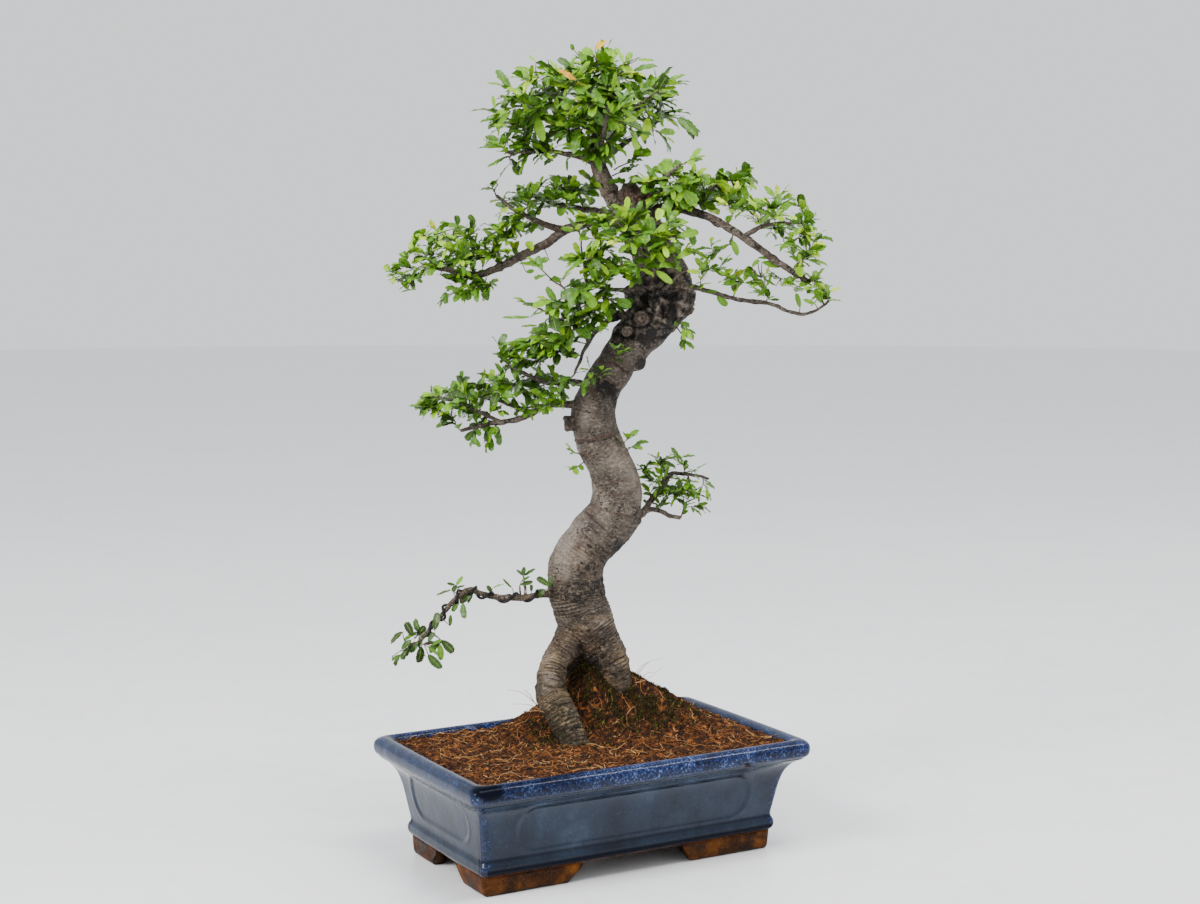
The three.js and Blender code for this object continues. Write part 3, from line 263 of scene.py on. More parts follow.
# Leaves that stand out: foot and tip as columns and rows, width over length, and tone
SET_LEAVES = {
    "crown": [(595, 50, 604, 39, 0.5, 0.94), (596, 61, 618, 47, 0.38, 0.95),
        (594, 55, 583, 48, 0.7, 0.62), (577, 82, 560, 68, 0.3, 0.93), (575, 83, 585, 83, 0.4, 0.9),
        (573, 86, 546, 82, 0.34, 0.7), (578, 90, 591, 85, 0.35, 0.68),
        (648, 89, 661, 72, 0.3, 0.6), (666, 84, 683, 70, 0.26, 0.5), (661, 90, 676, 87, 0.42, 0.7),
        (661, 96, 676, 94, 0.4, 0.66), (664, 117, 680, 124, 0.34, 0.66),
        (678, 122, 698, 132, 0.3, 0.64), (662, 113, 683, 110, 0.14, 0.5),
        (512, 108, 488, 120, 0.34, 0.6), (511, 111, 495, 127, 0.24, 0.5),
        (504, 86, 488, 80, 0.16, 0.5), (536, 62, 528, 55, 0.22, 0.74),
        (533, 72, 516, 65, 0.26, 0.6), (508, 145, 486, 148, 0.14, 0.74),
        (507, 156, 487, 167, 0.14, 0.5), (529, 155, 516, 173, 0.22, 0.48),
        (567, 158, 567, 171, 0.2, 0.45), (574, 50, 571, 45, 0.7, 0.5),
        (626, 62, 631, 53, 0.8, 0.66), (633, 72, 654, 60, 0.34, 0.42),
        (637, 60, 654, 60, 0.22, 0.6), (622, 66, 634, 74, 0.8, 0.72),
        (545, 104, 528, 98, 0.62, 0.34), (573, 100, 562, 108, 0.85, 0.6),
        (572, 130, 571, 145, 0.8, 0.5), (596, 122, 602, 133, 0.8, 0.44),
        (598, 138, 604, 156, 0.8, 0.48), (592, 108, 602, 124, 0.5, 0.3),
        (612, 118, 612, 130, 0.75, 0.45), (570, 66, 558, 58, 0.62, 0.34),
        (537, 86, 528, 74, 0.75, 0.36), (548, 60, 562, 72, 0.3, 0.74),
        (521, 126, 510, 132, 0.5, 0.52), (546, 116, 536, 106, 0.5, 0.5),
        (640, 130, 647, 143, 0.42, 0.5), (633, 136, 636, 150, 0.5, 0.6),
        (556, 96, 557, 112, 0.35, 0.66), (611, 93, 622, 86, 0.4, 0.62)],
    "front": [(603, 226, 576, 213, 0.36, 0.44), (597, 235, 617, 230, 0.46, 0.42),
        (652, 236, 649, 217, 0.55, 0.5), (657, 220, 662, 209, 0.8, 0.8),
        (657, 230, 685, 215, 0.34, 0.64), (628, 230, 645, 225, 0.42, 0.8),
        (621, 232, 636, 219, 0.45, 0.26), (651, 240, 667, 239, 0.42, 0.46),
        (666, 263, 682, 270, 0.46, 0.5), (623, 261, 637, 271, 0.6, 0.44),
        (616, 300, 631, 307, 0.7, 0.46), (626, 306, 633, 299, 0.85, 0.46),
        (581, 290, 560, 297, 0.55, 0.34), (585, 292, 596, 307, 0.6, 0.6),
        (581, 312, 602, 304, 0.25, 0.7), (656, 271, 671, 282, 0.38, 0.72),
        (687, 271, 698, 271, 0.5, 0.84), (588, 311, 575, 314, 0.36, 0.66),
        (623, 206, 633, 204, 0.8, 0.48), (686, 226, 697, 243, 0.45, 0.5),
        (680, 236, 700, 230, 0.42, 0.62), (640, 282, 622, 276, 0.5, 0.4),
        (607, 262, 592, 256, 0.5, 0.46)],
    "upper_right_top": [(672, 176, 665, 160, 0.55, 0.56), (672, 176, 683, 169, 0.36, 0.56),
        (671, 179, 661, 176, 0.4, 0.5), (658, 180, 646, 164, 0.32, 0.5),
        (697, 177, 706, 166, 0.75, 0.8), (696, 173, 690, 156, 0.3, 0.76),
        (730, 178, 751, 169, 0.34, 0.4), (730, 178, 728, 170, 0.6, 0.46),
        (718, 192, 696, 189, 0.26, 0.72), (733, 203, 728, 193, 0.9, 0.72),
        (733, 203, 745, 206, 0.45, 0.7), (724, 206, 714, 195, 0.4, 0.7),
        (747, 200, 743, 187, 0.6, 0.66), (716, 209, 704, 202, 0.7, 0.5)],
    "upper_right": [(748, 205, 770, 213, 0.36, 0.52), (775, 196, 764, 186, 0.36, 0.6),
        (779, 209, 790, 203, 0.5, 0.62), (792, 224, 803, 214, 0.6, 0.46),
        (798, 233, 817, 227, 0.3, 0.62), (798, 233, 815, 234, 0.26, 0.6),
        (808, 260, 828, 260, 0.2, 0.7), (784, 222, 776, 232, 0.5, 0.5)],
    "low_right": [(723, 276, 733, 269, 0.8, 0.78), (744, 281, 750, 267, 0.5, 0.62),
        (723, 285, 737, 281, 0.5, 0.5), (722, 276, 714, 267, 0.36, 0.46),
        (717, 295, 726, 306, 0.6, 0.5), (718, 292, 707, 290, 0.36, 0.5),
        (744, 283, 737, 277, 0.5, 0.46), (745, 283, 756, 283, 0.32, 0.5),
        (752, 267, 758, 259, 0.5, 0.52), (758, 258, 768, 257, 0.42, 0.52),
        (762, 262, 780, 266, 0.35, 0.56), (782, 286, 794, 278, 0.7, 0.46),
        (776, 286, 764, 278, 0.26, 0.46), (770, 291, 757, 293, 0.36, 0.5),
        (821, 303, 817, 288, 0.65, 0.64), (815, 304, 804, 299, 0.36, 0.56),
        (770, 300, 780, 299, 0.3, 0.5), (800, 308, 796, 293, 0.36, 0.5),
        (808, 279, 817, 279, 0.42, 0.62)],
    "upper_left": [(421, 254, 410, 245, 0.6, 0.88), (424, 258, 411, 263, 0.36, 0.84),
        (416, 290, 400, 288, 0.12, 0.5), (408, 290, 402, 280, 0.5, 0.66),
        (458, 225, 457, 215, 0.75, 0.36), (475, 223, 469, 215, 0.65, 0.36),
        (467, 228, 439, 225, 0.24, 0.5), (529, 249, 531, 243, 1.0, 0.84),
        (549, 260, 540, 260, 0.8, 0.5), (526, 272, 534, 271, 0.6, 0.5),
        (445, 292, 446, 304, 0.5, 0.46), (440, 275, 464, 281, 0.4, 0.36),
        (460, 288, 462, 297, 0.7, 0.5), (468, 290, 470, 300, 0.7, 0.46),
        (430, 268, 436, 258, 0.6, 0.42), (478, 280, 484, 292, 0.6, 0.46)],
    "mid_left": [(531, 317, 502, 318, 0.12, 0.5), (536, 338, 500, 338, 0.12, 0.56),
        (534, 341, 507, 345, 0.14, 0.5), (532, 346, 509, 354, 0.16, 0.52),
        (541, 341, 556, 350, 0.4, 0.92), (545, 338, 540, 348, 0.3, 0.9),
        (538, 326, 522, 324, 0.16, 0.6), (546, 330, 532, 330, 0.4, 0.45),
        (560, 312, 548, 304, 0.5, 0.5), (575, 330, 588, 336, 0.6, 0.45)],
    "lower_left": [(430, 400, 421, 396, 0.8, 0.5), (446, 389, 432, 385, 0.2, 0.6),
        (452, 392, 454, 380, 0.7, 0.5), (478, 392, 488, 372, 0.2, 0.5),
        (486, 396, 499, 380, 0.18, 0.56), (470, 400, 474, 384, 0.2, 0.5),
        (505, 378, 497, 362, 0.3, 0.45), (520, 384, 512, 366, 0.28, 0.45),
        (492, 388, 505, 372, 0.16, 0.6), (462, 396, 462, 382, 0.3, 0.5),
        (448, 420, 436, 428, 0.4, 0.4), (500, 432, 498, 446, 0.5, 0.4)],
    "wired": [(403, 632, 387, 641, 0.38, 0.3), (413, 636, 406, 623, 0.55, 0.2),
        (417, 636, 425, 626, 0.62, 0.24), (435, 630, 437, 614, 0.5, 0.26),
        (450, 626, 451, 615, 0.36, 0.36), (411, 640, 401, 648, 0.6, 0.34),
        (406, 648, 402, 660, 0.45, 0.34), (418, 642, 408, 652, 0.7, 0.36),
        (421, 646, 420, 664, 0.5, 0.26), (428, 654, 440, 670, 0.46, 0.4),
        (440, 644, 441, 661, 0.42, 0.66), (441, 640, 455, 651, 0.5, 0.34),
        (442, 641, 428, 651, 0.52, 0.32), (463, 603, 463, 618, 0.5, 0.4),
        (459, 600, 453, 612, 0.46, 0.4), (474, 591, 460, 601, 0.48, 0.36),
        (473, 594, 467, 603, 0.4, 0.4), (456, 585, 463, 577, 0.5, 0.72),
        (455, 585, 447, 583, 0.36, 0.46), (452, 590, 435, 593, 0.16, 0.42),
        (456, 588, 465, 585, 0.3, 0.42), (453, 592, 455, 586, 0.8, 0.36),
        (491, 592, 488, 586, 0.6, 0.36), (493, 588, 503, 583, 0.36, 0.76),
        (512, 588, 503, 580, 0.2, 0.36), (523, 576, 525, 567, 0.55, 0.36),
        (523, 576, 517, 569, 0.4, 0.4), (524, 576, 534, 568, 0.3, 0.4),
        (521, 582, 529, 576, 0.3, 0.42), (520, 585, 533, 582, 0.36, 0.36),
        (550, 586, 537, 577, 0.45, 0.34), (550, 588, 549, 577, 0.4, 0.36),
        (546, 590, 535, 595, 0.7, 0.3), (531, 592, 532, 584, 0.5, 0.34),
        (432, 646, 440, 638, 0.5, 0.5), (428, 642, 434, 632, 0.5, 0.36)],
}
SET_LEAF_SHADES = {"wired": -0.2, "crown": 0.0}
LEAF_COLUMNS, LEAF_STATIONS = np.array([-1.0, 0.0, 1.0]), 15
LEAF_DROOP, LEAF_FOLD, LEAF_TWIST, LEAF_LEAN = (0.0, 0.42), (0.08, 0.42), 0.22, 0.12
WIDE_LEAF = 0.43  # narrower leaves are pointed
LEAF_ANGLE, LEAF_ANGLE_SPREAD, LEAF_SPACING = 54, 11, 0.25
FURTHEST_BEARER, LONG_TWIG, TWIGS_PER_COUNT = 70, 30, 1.7

# Marks on the side of the trunk that the photograph shows: column, row, half width, half height,
# rise (less than 0 is a pit), how dark (less than 0 is pale) and how dead
MARKS = [
    (648, 298, 12, 9, -6.5, 1.0, 0), (669, 291, 9, 7, -5.0, 1.0, 0),
    (664, 313, 6, 6, -4.0, 0.9, 0), (642, 318, 7, 7, 0.6, -1.0, 0.25),
    (674, 302, 5, 8, -3.5, 0.9, 0), (638, 338, 8, 5, -2.0, 0.8, 0),
    (660, 330, 14, 9, -0.8, 0.5, 0), (648, 340, 10, 5, -1.0, 0.5, 0),
    (668, 276, 8, 6, -3.0, 0.8, 0), (656, 304, 5, 5, 2.6, 0.2, 0), (686, 300, 9, 9, 2.5, 0.1, 0),
    (632, 292, 6, 8, 2.2, 0.3, 0), (604, 392, 10, 8, -0.8, 0.3, 0), (643, 362, 9, 9, 2.4, 0.35, 0),
    (640, 364, 4, 5, -1.6, 0.6, 0), (572, 423, 7, 8, 1.0, 0.5, 0.3),
    (568, 424, 3, 4, -1.8, 1.0, 0), (575, 418, 4, 3, 0.8, -0.8, 0),
    (583, 456, 6, 5, 1.2, 0.1, 1.0), (583, 456, 3, 2.5, -1.6, 0.5, 0),
    (637, 527, 8, 7, 1.8, 0.0, 0), (598, 545, 9, 6, 1.2, 0.0, 0), (643, 197, 9, 7, -1.6, 0.4, 0.8),
    (620, 468, 7, 5, 1.2, 0.0, 0), (604, 505, 9, 6, 1.4, 0.0, 0), (588, 572, 12, 9, 0.3, 0.5, 0),
    # Pale patches with no rise on the stem's left, such as (566, 540), (578, 522), (560, 572),
    # (590, 404) and (584, 420), are partly the bark's pale grey and partly painted highlight
    (572, 562, 9, 5, 0.0, 0.35, 0), (618, 550, 9, 8, 0.0, 0.5, 0), (566, 540, 13, 24, 0, -0.6, 0),
    (578, 522, 14, 14, 0, -0.55, 0), (560, 572, 10, 20, 0, -0.5, 0), (590, 404, 9, 14, 0, -0.4, 0),
    (584, 420, 6, 12, 0, -0.5, 0), (626, 474, 9, 20, 0, -0.35, 0), (612, 456, 9, 14, 0, -0.3, 0),
    (560, 612, 12, 12, 0, -0.35, 0), (600, 620, 16, 14, 0, -0.3, 0), (548, 672, 9, 26, 0, -0.5, 0),
    (612, 640, 10, 20, 0, -0.3, 0), (574, 604, 14, 10, 0, 0.3, 0), (636, 350, 10, 8, 0, -0.4, 0),
    (624, 352, 8, 8, 0, -0.4, 0), (580, 548, 9, 8, 0, 0.35, 0), (637, 512, 7, 9, 1.5, 0.4, 0),
    # (620, 545) here and (618, 550) further up are painted shade under the burl
    (620, 545, 6, 10, -0.8, 0.4, 0), (592, 666, 12, 15, -1.0, 0.9, 0),
    (606, 640, 9, 12, 0.0, 0.45, 0), (556, 640, 6, 10, 0.0, 0.3, 0),
]
# Healed cuts with rings: column, row and reach
RINGED = [(642, 318, 7.5), (627, 331, 6)]
# Creases and ridges: points as column and row, half width, depth (less than 0 for a ridge), and
# how dark and how dead
CREASES = [
    ([(610, 362), (620, 367), (632, 376)], 1.5, 1.3, 0.5, 0.6),
    ([(573, 441), (584, 440), (596, 438), (608, 436), (618, 432)], 1.5, -0.9, 0.1, 0.9),
    ([(571, 443), (584, 443), (596, 441), (608, 439), (617, 435)], 0.9, 0.9, 0.7, 0),
    ([(588, 502), (606, 511), (626, 516), (642, 519)], 1.0, 0.8, 0.1, 0.7),
    ([(580, 498), (592, 506), (600, 512)], 1.0, 0.5, 0.1, 0.6),
    ([(586, 512), (598, 524), (613, 538)], 1.1, 1.2, 0.6, 0.4),
    ([(599, 383), (608, 388), (613, 394), (616, 403)], 3.0, 2.6, 1.3, 0),
    ([(606, 383), (614, 386), (618, 392)], 1.8, 1.6, 0.9, 0),
    ([(575, 408), (590, 412), (606, 410)], 1.2, 0.7, 0.2, 0.4),
    ([(595, 478), (612, 482), (632, 480)], 1.2, 0.6, 0.1, 0.5),
    ([(600, 488), (618, 496), (634, 492)], 1.0, 0.5, 0.1, 0.5),
    ([(584, 468), (590, 480), (604, 486)], 1.0, 0.5, 0.1, 0.5),
    ([(588, 545), (598, 552), (607, 560)], 1.0, 1.0, 0.55, 0.2),
    ([(590, 553), (599, 558), (606, 565)], 1.0, 0.9, 0.5, 0.2),
    ([(586, 537), (598, 545), (609, 555)], 1.0, 1.0, 0.5, 0.2),
    ([(594, 564), (601, 567), (606, 570)], 1.0, 0.8, 0.5, 0.2),
    ([(594, 530), (603, 539), (612, 549)], 1.0, 0.9, 0.45, 0.2),
    ([(552, 612), (575, 618), (606, 612)], 1.6, 1.1, 0.4, 0),
    ([(556, 625), (580, 632), (612, 628)], 1.6, 1.0, 0.4, 0),
    ([(544, 668), (556, 671), (570, 668)], 1.3, 1.0, 0.45, 0),
    ([(541, 684), (553, 688), (568, 686)], 1.3, 1.0, 0.4, 0),
    ([(545, 702), (560, 706), (575, 702)], 1.3, 0.9, 0.4, 0),
    ([(602, 655), (615, 660), (628, 656)], 1.4, 0.9, 0.4, 0),
    ([(606, 672), (618, 677), (632, 673)], 1.3, 0.9, 0.4, 0),
    ([(656, 288), (668, 284), (682, 286), (692, 290)], 3.0, -2.0, -1.0, 0.3),
    ([(652, 300), (658, 308), (656, 318)], 2.0, -1.6, -0.8, 0),
    ([(676, 292), (682, 302), (680, 314)], 2.2, -1.2, -0.9, 0),
    ([(640, 300), (636, 306), (634, 312)], 1.8, -1.4, -0.8, 0),
    ([(664, 300), (667, 310), (664, 322)], 1.8, -1.2, -0.7, 0),
]

# Outside of the pot's wall, from the glaze's lower edge up to the rim's nose:
# height, and share of the way from the nose in to the foot
WALL_PROFILE = [
    (17.6, 1.06), (18.2, 1.0), (19.4, 0.955), (21.4, 0.905), (24.0, 0.878), (27.0, 0.88),
    (29.3, 0.905), (31.2, 0.94), (33.2, 0.957), (36.0, 0.95), (43.0, 0.905), (51.0, 0.855),
    (59.0, 0.803), (66.0, 0.75), (72.0, 0.69), (77.0, 0.62), (81.0, 0.525), (84.5, 0.415),
    (87.4, 0.29), (89.4, 0.17), (90.4, 0.135), (91.3, 0.13), (92.2, 0.07), (94.2, 0.022),
    (97.2, -0.002), (100.4, -0.004),
]
# Rim from its nose over the top: height, and how far in from the nose along X and Y
RIM_PROFILE = [
    (103.2, 0.5, 0.5), (105.4, 2.0, 2.0), (107.1, 4.4, 4.4), (107.95, 7.4, 7.2),
    (107.7, 10.6, 9.8), (106.6, 13.4, 12.2), (104.6, 15.3, 13.8), (101.8, 15.95, 14.45),
    (98.0, 16.0, 14.5),
]
# Inside wall under the soil: height, half length and half width
INSIDE_WALL = [(89.3, 159.0, 95.5), (85.0, 155.5, 87.1), (66.0, 146.7, 75.4),
               (FLOOR_TOP, 143.0, 70.3)]
# Outside face of a foot from the pot down to the surface, then up inside: height and inset
FOOT_SECTION = [(18.4, 0.0), (15.0, 0.2), (10.0, 0.4), (5.0, 0.9), (2.6, 1.5), (1.0, 2.4),
                (0.15, 3.9), (0.0, 5.5), (0.0, 11.0), (0.8, 13.0), (3.0, FOOT_WALL),
                (18.4, FOOT_WALL)]
FOOT_STEPS = 64

rng = np.random.default_rng(547)


# ---- Points and curves ----

def turn(points, way=1):
    """Tree points turned to the part's axes, still in millimetres, or back again with -1."""
    points = np.asarray(points, float)
    cos, sin = math.cos(TREE_TURN), way * math.sin(TREE_TURN)
    x, y = points[..., 0], points[..., 1]
    return np.stack([x * cos + y * sin, y * cos - x * sin, points[..., 2]], axis=-1)


def at_pixel(column, row, deep):
    """Tree point that the photograph shows at a pixel, at a given depth."""
    cos, sin = math.cos(CAMERA_PITCH), math.sin(CAMERA_PITCH)
    right = (column - PHOTO_WIDTH / 2) / FOCAL_PIXELS
    rise = (PHOTO_HEIGHT / 2 - row) / FOCAL_PIXELS
    reach = (deep - CAMERA_PLACE[1]) / (cos + rise * sin)
    return np.array([CAMERA_PLACE[0] + reach * right, deep,
                     CAMERA_PLACE[2] + reach * (rise * cos - sin)])


def pixel_of(points):
    """Columns and rows at which tree points show in the photograph, and their distance."""
    cos, sin = math.cos(CAMERA_PITCH), math.sin(CAMERA_PITCH)
    away = points - CAMERA_PLACE
    forward = away[..., 1] * cos - away[..., 2] * sin
    rise = away[..., 1] * sin + away[..., 2] * cos
    columns = PHOTO_WIDTH / 2 + FOCAL_PIXELS * away[..., 0] / forward
    return columns, PHOTO_HEIGHT / 2 - FOCAL_PIXELS * rise / forward, forward


def smooth_curve(points, spots):
    """Points of a smooth curve through control points, at spots counted in control points."""
    points = np.asarray(points, float)
    padded = np.vstack([2 * points[0] - points[1], points, 2 * points[-1] - points[-2]])
    spots = np.clip(np.asarray(spots, float), 0, len(points) - 1)
    low = np.minimum(spots.astype(int), len(points) - 2)
    share = (spots - low)[:, None]
    before, start, end, after = (padded[low + k] for k in range(4))
    step = [np.sqrt(np.linalg.norm(b[:, :3] - a[:, :3], axis=1))[:, None]
            for a, b in ((before, start), (start, end), (end, after))]
    tangent_in = step[1] * ((start - before) / step[0] - (end - before) / (step[0] + step[1])
                            + (end - start) / step[1])
    tangent_out = step[1] * ((end - start) / step[1] - (after - start) / (step[1] + step[2])
                             + (after - end) / step[2])
    square = -3 * start + 3 * end - 2 * tangent_in - tangent_out
    cube = 2 * start - 2 * end + tangent_in + tangent_out
    return start + tangent_in * share + square * share**2 + cube * share**3


def run_along(points):
    """Distance along a line of points, from its start."""
    steps = np.linalg.norm(np.diff(points, axis=0), axis=1)
    return np.concatenate([[0], np.cumsum(steps)])


def samples(points, spacing):
    """Even samples along a limb, each with its radius."""
    dense = smooth_curve(points, np.linspace(0, len(points) - 1, 500))
    run = run_along(dense[:, :3])
    even = np.linspace(0, run[-1], max(int(run[-1] / spacing), 3) + 1)
    return np.column_stack([np.interp(even, run, dense[:, k]) for k in range(4)])


def unit(vectors):
    vectors = np.asarray(vectors, float)
    return vectors / np.maximum(np.linalg.norm(vectors, axis=-1, keepdims=True), 1e-9)


def ways_of(line):
    return unit(np.gradient(line, axis=0))


def rings_round(line, reach):
    """Rings of points round a line, turned as little as can be; reach has a column a side."""
    tangents = ways_of(line)
    normal = np.cross(tangents[0], [0.3, 0.8, 0.52])
    normals = []
    for tangent in tangents:
        normal = unit(normal - tangent * np.dot(normal, tangent))
        normals.append(normal)
    normals = np.array(normals)
    aside = np.cross(tangents, normals)
    angles = np.arange(reach.shape[1]) / reach.shape[1] * 2 * math.pi
    return line[:, None] + reach[..., None] * (np.cos(angles)[None, :, None] * normals[:, None]
                                               + np.sin(angles)[None, :, None] * aside[:, None])


def grid_of(rows, columns):
    return np.arange(rows * columns).reshape(rows, columns)


def quads_of(grid, closed=True, flip=False):
    """Quads between the rows of a grid of vertex numbers; closed joins the ends of each row."""
    after = np.roll(grid, -1, axis=1)
    if not closed:
        grid, after = grid[:, :-1], after[:, :-1]
    corners = [grid[:-1], after[:-1], after[1:], grid[1:]]
    return np.stack(corners[:1] + corners[:0:-1] if flip else corners, axis=-1).reshape(-1, 4)


def tube(line, radii, sides, relief=1.0):
    """Vertices and quads of a closed tube, and the ends as fans of triangles."""
    line = np.asarray(line, float)
    rings = rings_round(line, np.repeat(np.asarray(radii, float)[:, None], sides, axis=1) * relief)
    grid = grid_of(len(line), sides)
    first = grid.size
    ends = [np.stack([np.full(sides, first), np.roll(grid[0], -1), grid[0]], axis=1),
            np.stack([np.full(sides, first + 1), grid[-1], np.roll(grid[-1], -1)], axis=1)]
    points = np.vstack([rings.reshape(-1, 3), line[:1], line[-1:]])
    return points, quads_of(grid), np.vstack(ends)


def fade(values, low, high):
    share = np.clip((np.asarray(values, float) - low) / (high - low), 0, 1)
    return share * share * (3 - 2 * share)


def hump(values, centre, reach):
    return np.exp(-((values - centre) / reach) ** 2)


def hump_at(one, two, centre, reach):
    return np.exp(-((one - centre[0]) / reach[0]) ** 2 - ((two - centre[1]) / reach[1]) ** 2)


def noise_at(points, scale, seed=0.0):
    """Smooth noise from -1 to 1 at points in millimetres, one value each."""
    shift = Vector((seed, seed * 1.7, -seed))
    return np.array([noise.noise(Vector(p) / scale + shift) for p in points.tolist()])


def put(name, data):
    """An object in the scene that holds the data."""
    made = bpy.data.objects.new(name, data)
    bpy.context.scene.collection.objects.link(made)
    return made


class Shape:
    """Gathers vertices, faces, materials and per-vertex values of one piece."""

    def __init__(self):
        self.points, self.values, self.count = [], [], 0
        self.faces, self.looks = {4: [], 3: []}, {4: [], 3: []}

    def add(self, points, quads=(), triangles=(), look=0, values=(0.0, 0.0, 0.0)):
        points = np.asarray(points, float).reshape(-1, 3)
        self.points.append(points)
        self.values.append(np.broadcast_to(values, (len(points), 3)))
        for size, faces in ((4, quads), (3, triangles)):
            faces = np.asarray(faces, int).reshape(-1, size) + self.count
            self.faces[size].append(faces)
            self.looks[size].append(np.full(len(faces), look))
        self.count += len(points)

    def piece(self, name, materials, slot, replaces=(), turned=False):
        points = turn(np.vstack(self.points)) if turned else np.vstack(self.points)
        corners = np.concatenate([block.ravel() for block in self.faces[4] + self.faces[3]])
        sizes = np.repeat([4, 3], [sum(map(len, self.faces[size])) for size in (4, 3)])
        starts = np.concatenate([[0], np.cumsum(sizes)[:-1]])
        looks = np.concatenate(self.looks[4] + self.looks[3])
        mesh = bpy.data.meshes.new(name)
        mesh.vertices.add(len(points))
        mesh.vertices.foreach_set("co", (points * MM).ravel())
        mesh.loops.add(len(corners))
        mesh.loops.foreach_set("vertex_index", corners)
        mesh.polygons.add(len(sizes))
        mesh.polygons.foreach_set("loop_start", starts)
        mesh.polygons.foreach_set("material_index", looks)
        mesh.polygons.foreach_set("use_smooth", np.ones(len(sizes), bool))
        told = mesh.attributes.new("told", "FLOAT_VECTOR", "POINT")
        told.data.foreach_set("vector", np.vstack(self.values).ravel())
        mesh.update(calc_edges=True)
        mesh.validate()
        for material in materials:
            mesh.materials.append(material)
        piece = put(name, mesh)
        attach(piece, "root")
        if replaces:
            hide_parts(*replaces)


# ---- Materials ----

SOCKETS = {"rough": "Roughness", "metal": "Metallic", "ior": "IOR",
           "specular": "Specular IOR Level"}


def srgb(*screen):
    """Linear colour from screen values of 0 to 255."""
    return tuple(((v / 255 + 0.055) / 1.055) ** 2.4 if v > 10 else v / 255 / 12.92 for v in screen)


class Look:
    """Builds a node material from short calls. Its colour is painted on in layers."""

    def __init__(self, name):
        self.material = bpy.data.materials.new(name)
        self.material.use_nodes = True
        self.tree = self.material.node_tree
        self.shader = self.tree.nodes["Principled BSDF"]
        self.place = self.node("TexCoord", {}, "Object")
        self.color = None

    def node(self, kind, inputs, output=0, **settings):
        made = self.tree.nodes.new("ShaderNode" + kind)
        for key, value in settings.items():
            setattr(made, key, value)
        for key, value in inputs.items():
            self.link(value, made.inputs[key])
        return made.outputs[output]

    def link(self, source, target):
        if isinstance(source, (int, float)):
            target.default_value = source
        elif isinstance(source, tuple):
            target.default_value = (*source, 1.0) if target.type == "RGBA" else source
        else:
            self.tree.links.new(source, target)

    def scaled(self, *scale):
        return self.node("Mapping", {"Vector": self.place, "Scale": scale})

    def noise(self, scale, detail=4.0, rough=0.55, distortion=0.0, vector=None):
        return self.node("TexNoise", {
            "Vector": vector or self.place, "Scale": scale, "Detail": detail, "Roughness": rough,
            "Distortion": distortion}, "Fac")

    def cells(self, scale, vector=None):
        return self.node("TexVoronoi", {"Vector": vector or self.place, "Scale": scale}, "Distance")

    def span(self, source, low, high, to_low=0.0, to_high=1.0):
        return self.node("MapRange", {"Value": source, "From Min": low, "From Max": high,
                                      "To Min": to_low, "To Max": to_high}, "Result", clamp=True)

    def math(self, operation, *sources):
        return self.node("Math", dict(enumerate(sources)), operation=operation)

    def times(self, one, two):
        return self.math("MULTIPLY", one, two)

    def less(self, source):
        return self.math("SUBTRACT", 1.0, source)

    def parts_of(self, vector):
        return self.node("SeparateXYZ", {0: vector}).node.outputs

    def told(self):
        """The three values that each vertex carries."""
        return self.parts_of(self.node("Attribute", {}, "Vector", attribute_name="told"))

    def ramp(self, source, *stops):
        """Stops are a place and a colour in screen values."""
        color = self.node("ValToRGB", {"Fac": source})
        elements = color.node.color_ramp.elements
        while len(elements) < len(stops):
            elements.new(0.5)
        for element, (spot, *screen) in zip(elements, stops):
            element.position = spot
            element.color = (*srgb(*screen), 1.0)
        return color

    def paint(self, color, share, most=None):
        """Lays a colour over what is there, by a share of at most so much."""
        if most is not None:
            share = self.times(share, most)
        over = srgb(*color) if isinstance(color, tuple) else color
        layers = {"Factor": share, 6: self.color, 7: over}
        self.color = self.node("Mix", layers, 2, data_type="RGBA")

    def bump(self, *layers):
        """Layers are (height, distance in metres), the first one deepest."""
        inputs = {}
        for source, distance in layers:
            inputs.update({"Strength": 1.0, "Distance": distance, "Height": source})
            inputs["Normal"] = self.node("Bump", inputs)
        self.link(inputs["Normal"], self.shader.inputs["Normal"])

    def finish(self, **inputs):
        self.link(self.color, self.shader.inputs["Base Color"])
        for key, value in inputs.items():
            self.link(value, self.shader.inputs[SOCKETS[key]])
        return self.material


def glaze_look():
    look = Look("glaze")
    pool_shade_and_reflection, edge, bare = look.told()
    streak = look.noise(26, 5, 0.62, 0.4, look.scaled(1.0, 1.0, 0.14))
    cloud = look.math("ADD", look.times(look.noise(22, 6, 0.62), 0.72), look.times(streak, 0.28))
    look.color = look.ramp(cloud, (0.32, 15, 21, 34), (0.46, 23, 33, 48), (0.58, 33, 45, 62),
                           (0.72, 56, 69, 86))
    look.paint((14, 22, 42), look.span(look.noise(460, 3, 0.65), 0.56, 0.68), 0.6)
    light = look.noise(380, 3, 0.7, 0.3, look.scaled(1.1, 0.9, 1.0))
    look.paint((110, 124, 142), look.span(light, 0.62, 0.7), 0.16)
    mottle = look.math("ADD", look.times(look.noise(520, 2, 0.6), 0.7),
                       look.times(look.noise(60, 4, 0.6), 0.3))
    look.paint(look.ramp(mottle, (0.38, 4, 7, 20), (0.49, 14, 24, 56), (0.58, 34, 52, 98),
                         (0.68, 100, 116, 146)), edge)
    # Dark where glaze pools, with painted shade under the rim and along the panels' top edges, and
    # painted dark reflection
    look.paint((6, 9, 20), pool_shade_and_reflection)
    worn = look.span(look.noise(240, 4, 0.65), 0.30, 0.50)
    look.paint((100, 60, 44), look.times(look.span(bare, 0.3, 0.8), worn))
    look.bump((look.noise(46, 3, 0.5), 0.0006), (look.noise(240, 3, 0.6), 0.0001))
    return look.finish(rough=look.span(look.noise(80, 5, 0.65), 0.32, 0.68, 0.07, 0.24), ior=1.5,
                       specular=look.span(pool_shade_and_reflection, 0.25, 0.9, 0.22, 0.05))


